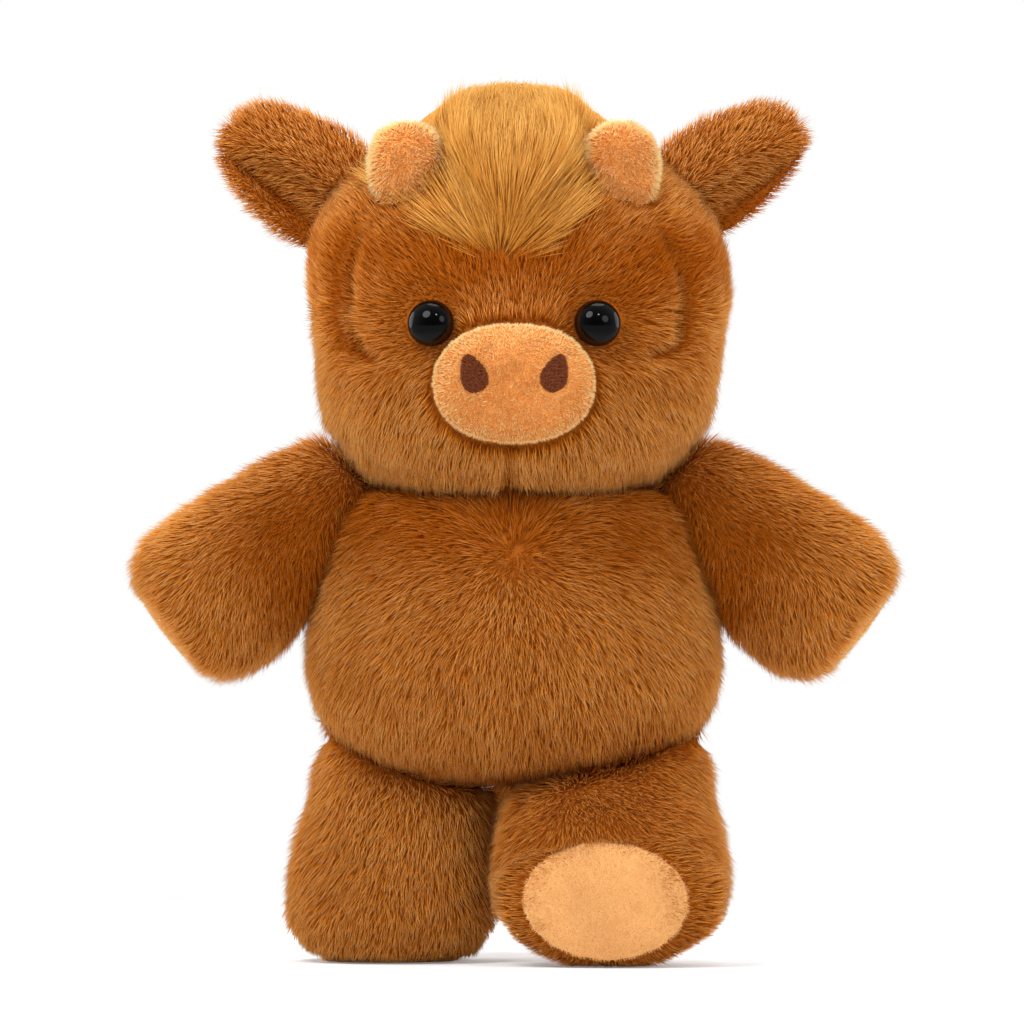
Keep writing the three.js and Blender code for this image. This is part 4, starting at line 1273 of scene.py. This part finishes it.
def makeTopknot():
    skin = makeTopknotSkin()
    whorl = topknot["whorl"]
    baseTree = treeOf(skin.data)

    def comb(points, upward):
        away = unit(points - whorl)
        away[:, 0] *= 1 - 1.25 * smoothStep(0.262, 0.278, points[:, 2])
        behind = smoothStep(0.0, 0.04, points[:, 1])[:, None]
        return away + np.array([0, 0.1, 0.2]) * (1 - behind) + np.array([0, 0.2, -1.2]) * behind

    def clearOfHorns(points, upward):
        flow = flatFlow(comb(points, upward), upward)
        over = overHorns(points)
        for share in (0.25, 0.5, 0.75):
            over |= overHorns(points + flow * share * topFur["length"])
        return ~over

    def keep(points, upward):
        x, y, z = points.T
        bare = coveredBy(headTree, points, upward) | (heightOver(headTree, points) < -0.0005)
        bare |= (np.abs(x) > topknot["bareSide"]) & (z < topknot["bareBelow"]) & (y < 0)
        return ~bare & clearOfHorns(points, upward)

    def keepEdge(points, upward):
        return blondZone(points) * ~coveredBy(baseTree, points, upward) * clearOfHorns(points, upward)

    # Painted light on the crest, and darker near the whorl, over a mottled tone
    def tone(points, upward):
        rooty = smoothStep(0.036, 0.004, np.linalg.norm(points - whorl, axis=1))
        crest = smoothStep(0.278, 0.296, points[:, 2])
        shade = mottle(points, 0.02, 0.006, 81, 0.08, 0.1)
        return shade + topknot["rootShade"] * rooty + topknot["crestPaintedLight"] * crest

    def panel(points):
        return (points[:, 1] > topknot["split"]).astype(int)

    fur = {**topFur, "lengthAt": crestLength}
    names = ["topknot_hair_front", "topknot_hair_back"]
    growFur(skin, fur, comb, keep, tone, "blond_plush", "head", names, 80, panel)
    names = ["topknot_hair_edge"]
    growFur(headSkin, {**fur, **edgeFur}, comb, keepEdge, tone, "blond_plush", "head", names, 85)
    finishSkin(skin, "blond_plush", "head", ["topknot"])


makeTopknot()
print("topknot ready")


# Short pile on the snout, horns, hands and soles
pileFur = {
    "places": [0.3], "widths": [1],
    "perMm2": 3.6, "length": 0.0020, "radius": 0.00016, "flat": 1, "behind": 1,
    "lie": 38, "lieWaves": 7, "lieLoose": 9, "riseShare": 0.5, "whirl": 0.8, "whirlSize": 0.008,
    "loose": 0.6, "tuft": 9, "gather": 0.5, "spread": 0.3,
}
pilePieces = {
    "snout": {
        "voxel": 0.0011, "rounds": 6, "depth": 0.0009, "fill": 0.7, "fur": {},
        "bareUnder": ["nostril_left", "nostril_right"], "bareGap": 0.0013,
        # the edge tone is painted sheen and the upper tone painted light from above
        "shade": -0.1, "edgePaintedSheen": 0.26, "upperPaintedLight": 0.34,
    },
    "horn": {
        "voxel": 0.0013, "rounds": 6, "depth": 0.0012, "fill": 0.9, "bareUnder": [],
        # the side tone is painted sheen on the horns' rims
        "fur": {"perMm2": 3.4, "length": 0.0028}, "shade": -0.06, "sideShade": 0.6,
    },
    "pad": {
        "voxel": 0.0009, "rounds": 4, "depth": 0.0004, "fill": 0.4, "bareUnder": [],
        "fur": {"perMm2": 1.8, "length": 0.0012, "lie": 24, "whirl": 0.3, "gather": 0.2},
    },
}
# The sole in sight fills its ring of fur and is domed; the one below is smaller than the foot
soleSpread = {"foot_sole_left": (1.05, 1, 1.05), "foot_sole_right": (0.88, 0.88, 1)}
soleDome = {"foot_sole_left": 0.0024, "foot_sole_right": 0}


def spreadSole(points, node):
    middle = middleOf(node)
    away = (points - middle) * np.array(soleSpread[node])
    if soleDome[node]:
        off = np.linalg.norm(away, axis=1) / (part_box(node)[1].x - middle[0])
        away[:, 1] -= soleDome[node] * np.maximum(0, 1 - off ** 2)
    return middle + away


def makePilePiece(node, kind, name, body, slot, seed):
    look = pilePieces[kind]
    middle = middleOf(node)
    side = node.split("_")[-1]
    skin = objectFrom(name, ownForm(node))
    soften(skin, look["rounds"], look["voxel"])
    setPoints(skin.data, pointsOf(skin.data) - normalsOf(skin.data) * look["depth"])
    if kind == "horn":
        setPoints(skin.data, growHorn(pointsOf(skin.data), side))
    if body == "head":
        reachDown(skin, head["depth"], 0.004)
    elif node in soleSpread:
        setPoints(skin.data, spreadSole(pointsOf(skin.data), node))
    else:
        setPoints(skin.data, domeEnd(pointsOf(skin.data), side))

    def comb(points, upward):
        if node in soleSpread:
            return np.broadcast_to(np.array([0.2, 0.1, -1.0]), points.shape)
        return points - middle + np.array([0, 0, -0.01])

    def keep(points, upward):
        bare = np.zeros(len(points), bool)
        if body == "head":
            bare |= heightOver(headTree, points) < 0.0008
        for stitches in look["bareUnder"]:
            bare |= gapTo(treeOfNode(stitches), points, 0.003) < look["bareGap"]
        return ~bare

    # Painted sheen at the snout's edge and on the horns' rims, and painted light on the snout's upper part
    def tone(points, upward):
        shade = mottle(points, 0.012, 0.003, seed + 1, 0.08, 0.12)
        if kind == "snout":
            # painted sheen at the edge and painted light on the upper part
            shade += look["edgePaintedSheen"] * smoothStep(0.6, 0.95, snoutShare(points)) + look["shade"]
            shade += look["upperPaintedLight"] * smoothStep(0.002, 0.018, points[:, 2] - middle[2])
        if kind == "horn":
            # painted sheen where the horn turns away from the front
            shade += look["sideShade"] * smoothStep(0.8, 0.35, -upward[:, 1]) + look["shade"]
        return shade

    growFur(skin, {**pileFur, **look["fur"]}, comb, keep, tone, slot, body, [f"{name}_pile"], seed)
    finishSkin(skin, slot, body, [node])
    return skin


snoutSkin = makePilePiece("snout", "snout", "snout_plush", "head", "peach_plush", 100)
for number, side in enumerate(sides):
    makePilePiece(f"horn_{side}", "horn", f"horn_plush_{side}", "head", "peach_plush", 110 + number)
    makePilePiece(f"hand_pad_{side}", "pad", f"hand_plush_{side}", f"arm_{side}", "peach_plush", 120 + number)
    makePilePiece(f"foot_sole_{side}", "pad", f"sole_plush_{side}", f"leg_{side}", "sole_plush", 130 + number)
print("snout, horns, hands and soles ready")


# Eyes: a glossy dome with a brown ring near its edge, on a short barrel that goes into the cover
eye = {
    "barrel": 0.0030, "barrelShare": 0.93, "shoulder": 0.985, "shoulderDrop": 0.15,
    "steps": 12, "turns": 40, "grow": 1.04,
    "rings": [(0.0, (2, 2, 2)), (0.84, (2, 2, 2)), (0.91, (44, 20, 8)), (1.0, (22, 10, 4))],
}


def eyeMaterial():
    material, tree, shader = newMaterial("eye_gloss")
    ring = addNode(tree, "Attribute", {}, attribute_name="ring").outputs["Fac"]
    stops = [(place, paint(*colour)) for place, colour in eye["rings"]]
    inputs = {"Base Color": addRamp(tree, ring, stops), "Roughness": 0.05, "Specular IOR Level": 0.1}
    feed(tree, shader, inputs)
    return material


# Middle of the rim, the way that the eye looks, its radius and the height of its dome
def eyeFrame(node):
    points = nodePoints([node])
    centre = points.mean(axis=0)
    outward = np.linalg.svd(points - centre)[2][0]
    outward = outward if outward[1] < 0 else -outward
    along = (points - centre) @ outward
    across = np.linalg.norm(points - centre - along[:, None] * outward, axis=1)
    radius = across.max()
    rim = along[across > 0.98 * radius].mean()
    return Vector(centre + outward * rim), Vector(outward), radius, along.max() - rim


def finishHard(obj, material, node):
    obj.data.materials.append(material)
    shadeSmooth(obj.data)
    obj.data.update()
    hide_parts(node)
    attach(obj, "head")


def makeEye(side, material):
    seat, outward, radius, dome = eyeFrame(f"eye_{side}")
    radius *= eye["grow"]
    barrel = eye["barrel"]
    places = [(0, -barrel), (radius * eye["barrelShare"], -barrel)]
    places.append((radius * eye["shoulder"], -barrel * eye["shoulderDrop"]))
    for i in range(eye["steps"] + 1):
        turn = i / eye["steps"] * math.pi / 2
        places.append((radius * math.cos(turn), dome * math.sin(turn)))
    bm = bmesh.new()
    outline = [bm.verts.new((x, 0, z)) for x, z in places]
    edges = [bm.edges.new(pair) for pair in zip(outline[:-1], outline[1:])]
    bmesh.ops.spin(bm, geom=outline + edges, cent=(0, 0, 0), axis=(0, 0, 1), angle=2 * math.pi,
                   steps=eye["turns"], use_merge=True)
    bmesh.ops.remove_doubles(bm, verts=bm.verts, dist=0.00002)
    bmesh.ops.recalc_face_normals(bm, faces=bm.faces)
    ring = bm.verts.layers.float.new("ring")
    for vert in bm.verts:
        vert[ring] = min(1.0, math.hypot(vert.co.x, vert.co.y) / radius)
    turn = Vector((0, 0, 1)).rotation_difference(outward).to_matrix().to_4x4()
    bmesh.ops.transform(bm, matrix=Matrix.Translation(seat) @ turn, verts=bm.verts)
    finishHard(objectFrom(f"eye_dome_{side}", bm), material, f"eye_{side}")


eyeGloss = eyeMaterial()
for side in sides:
    makeEye(side, eyeGloss)
print("eyes ready")


# Nostrils: rows of short satin stitches that lie side by side across each teardrop
stitch = {
    "row": 0.00062, "thickness": 0.00036, "length": 0.0030, "slant": 0.5, "step": 0.00025,
    "margin": 0.002, "rise": 0.0005, "shortest": 0.08,
}


# Where one slanting row crosses the teardrop: its first and its last place, or nothing
def rowEnds(shape, low, high, start, sign):
    places = []
    for column in range(int((high.x - low.x) / stitch["step"]) + 1):
        x = low.x + column * stitch["step"]
        z = start + stitch["slant"] * (x - low.x) * sign
        if shape.ray_cast(Vector((x, low.y - 0.01, z)), Vector((0, 1, 0)))[0]:
            places.append((x, z))
    return (places[0], places[-1]) if len(places) > 2 else None


def addStitch(bm, place, normal, way, half, thick):
    made = bmesh.ops.create_uvsphere(bm, u_segments=6, v_segments=5, radius=1)["verts"]
    along = (way - normal * way.dot(normal)).normalized()
    basis = Matrix((normal.cross(along) * thick, normal * thick * 1.5, along * half)).transposed()
    move = Matrix.Translation(place + normal * stitch["rise"])
    bmesh.ops.transform(bm, matrix=move @ basis.to_4x4(), verts=made)


def makeNostril(side, sign, material):
    node = f"nostril_{side}"
    low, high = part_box(node)
    shape, snoutTree = treeOfNode(node), treeOf(snoutSkin.data)
    rng = np.random.default_rng(140 + sign)
    bm = bmesh.new()
    for row in range(int((high.z - low.z + 2 * stitch["margin"]) / stitch["row"])):
        ends = rowEnds(shape, low, high, low.z - stitch["margin"] + row * stitch["row"], sign)
        if ends is None:
            continue
        (x0, z0), (x1, z1) = ends
        pieces = max(1, round((x1 - x0) / stitch["length"]))
        shift = (row % 2) * 0.5 / pieces if pieces > 1 else 0
        cuts = [min(1, max(0, (i + shift * pieces) / pieces)) for i in range(pieces + 1)]
        cuts = sorted({0.0, 1.0, *cuts})
        for a, b in zip(cuts[:-1], cuts[1:]):
            share = (a + b) / 2
            start = Vector((x0 + (x1 - x0) * share, low.y - 0.01, z0 + (z1 - z0) * share))
            place, normal = snoutTree.ray_cast(start, Vector((0, 1, 0)))[:2]
            if b - a < stitch["shortest"] or not place:
                continue
            half = math.hypot(x1 - x0, z1 - z0) * (b - a) / 2 + stitch["thickness"] * 0.6
            thick = stitch["thickness"] * rng.uniform(0.9, 1.15)
            addStitch(bm, place, normal, Vector((x1 - x0, 0, z1 - z0)).normalized(), half, thick)
    bmesh.ops.recalc_face_normals(bm, faces=bm.faces)
    finishHard(objectFrom(f"nostril_stitches_{side}", bm), material, node)


thread = clothMaterial("brown_stitches", (62, 24, 8), (128, 66, 36), 0.0005, 0.0002, specular=0.12)
for side, sign in sides.items():
    makeNostril(side, sign, thread)
print("nostrils ready")


# The stuffed tail and the long tuft at its end
tailPieces = {
    "tail": {
        "slot": "brown_plush", "voxel": 0.0012, "depth": 0.0016,
        "fur": {**torsoFur, "perMm2": 3.6, "length": 0.0058, "lie": 72, "behind": 1},
    },
    "tail_tuft": {
        "slot": "blond_plush", "voxel": 0.0012, "depth": 0.0035, "topHeight": 0.009, "topNarrow": 0.55,
        "fur": {**topFur, "perMm2": 3.0, "length": 0.014, "lie": 84, "riseShare": 0.7, "behind": 1},
    },
}


def combTail(points, upward):
    return np.broadcast_to(np.array([0, 0.1, -1.0]), points.shape)


def keepTail(points, upward):
    return np.ones(len(points))


def toneTail(points, upward):
    return 0.08 * waves(points, 0.01, 151)


def makeTailPiece(node, look):
    skin = objectFrom(f"{node}_plush", ownForm(node))
    soften(skin, 4, look["voxel"])
    sinkSkin(skin, look["depth"], ["torso_cover"])
    if "topNarrow" in look:
        points = pointsOf(skin.data)
        top = smoothStep(look["topHeight"], 0.0, points[:, 2].max() - points[:, 2])
        away = (points - middleOf(node)) * np.array([1, 1, 0])
        setPoints(skin.data, points - away * (look["topNarrow"] * top)[:, None])
    names = [f"{node}_plush_fur"]
    growFur(skin, look["fur"], combTail, keepTail, toneTail, look["slot"], "tail", names, 150)
    finishSkin(skin, look["slot"], "tail", [node])


for node, look in tailPieces.items():
    makeTailPiece(node, look)
print("tail ready")


# The pieces inside keep their solids: white washers, and bags of pellets that show through thin cloth
pellets = {"scale": 320, "light": (232, 226, 212), "dark": (196, 188, 172), "bump": 0.0008}


def pelletMaterial():
    material, tree, shader = newMaterial("pellet_bag")
    inputs = {"Vector": objectPlace(tree), "Scale": pellets["scale"]}
    cells = addNode(tree, "TexVoronoi", inputs).outputs["Distance"]
    stops = [(0.0, paint(*pellets["light"])), (0.6, paint(*pellets["dark"]))]
    bump = addNode(tree, "Bump", {"Distance": pellets["bump"], "Height": cells}, invert=True)
    inputs = {"Base Color": addRamp(tree, cells, stops), "Normal": bump.outputs[0], "Roughness": 0.7}
    feed(tree, shader, inputs)
    return material


washerPlastic = clothMaterial("washer_plastic", (226, 224, 218), (240, 238, 232), 0.0008, 0.00002, 0.45)
pelletBag = pelletMaterial()
insideLooks = {
    "eye_washer_left": washerPlastic, "eye_washer_right": washerPlastic, "seat_pellet_bag": pelletBag,
    "foot_pellet_bag_left": pelletBag, "foot_pellet_bag_right": pelletBag,
}
for name, material in insideLooks.items():
    for materialSlot in nodes[name].material_slots:
        materialSlot.material = material
print("inner pieces ready")
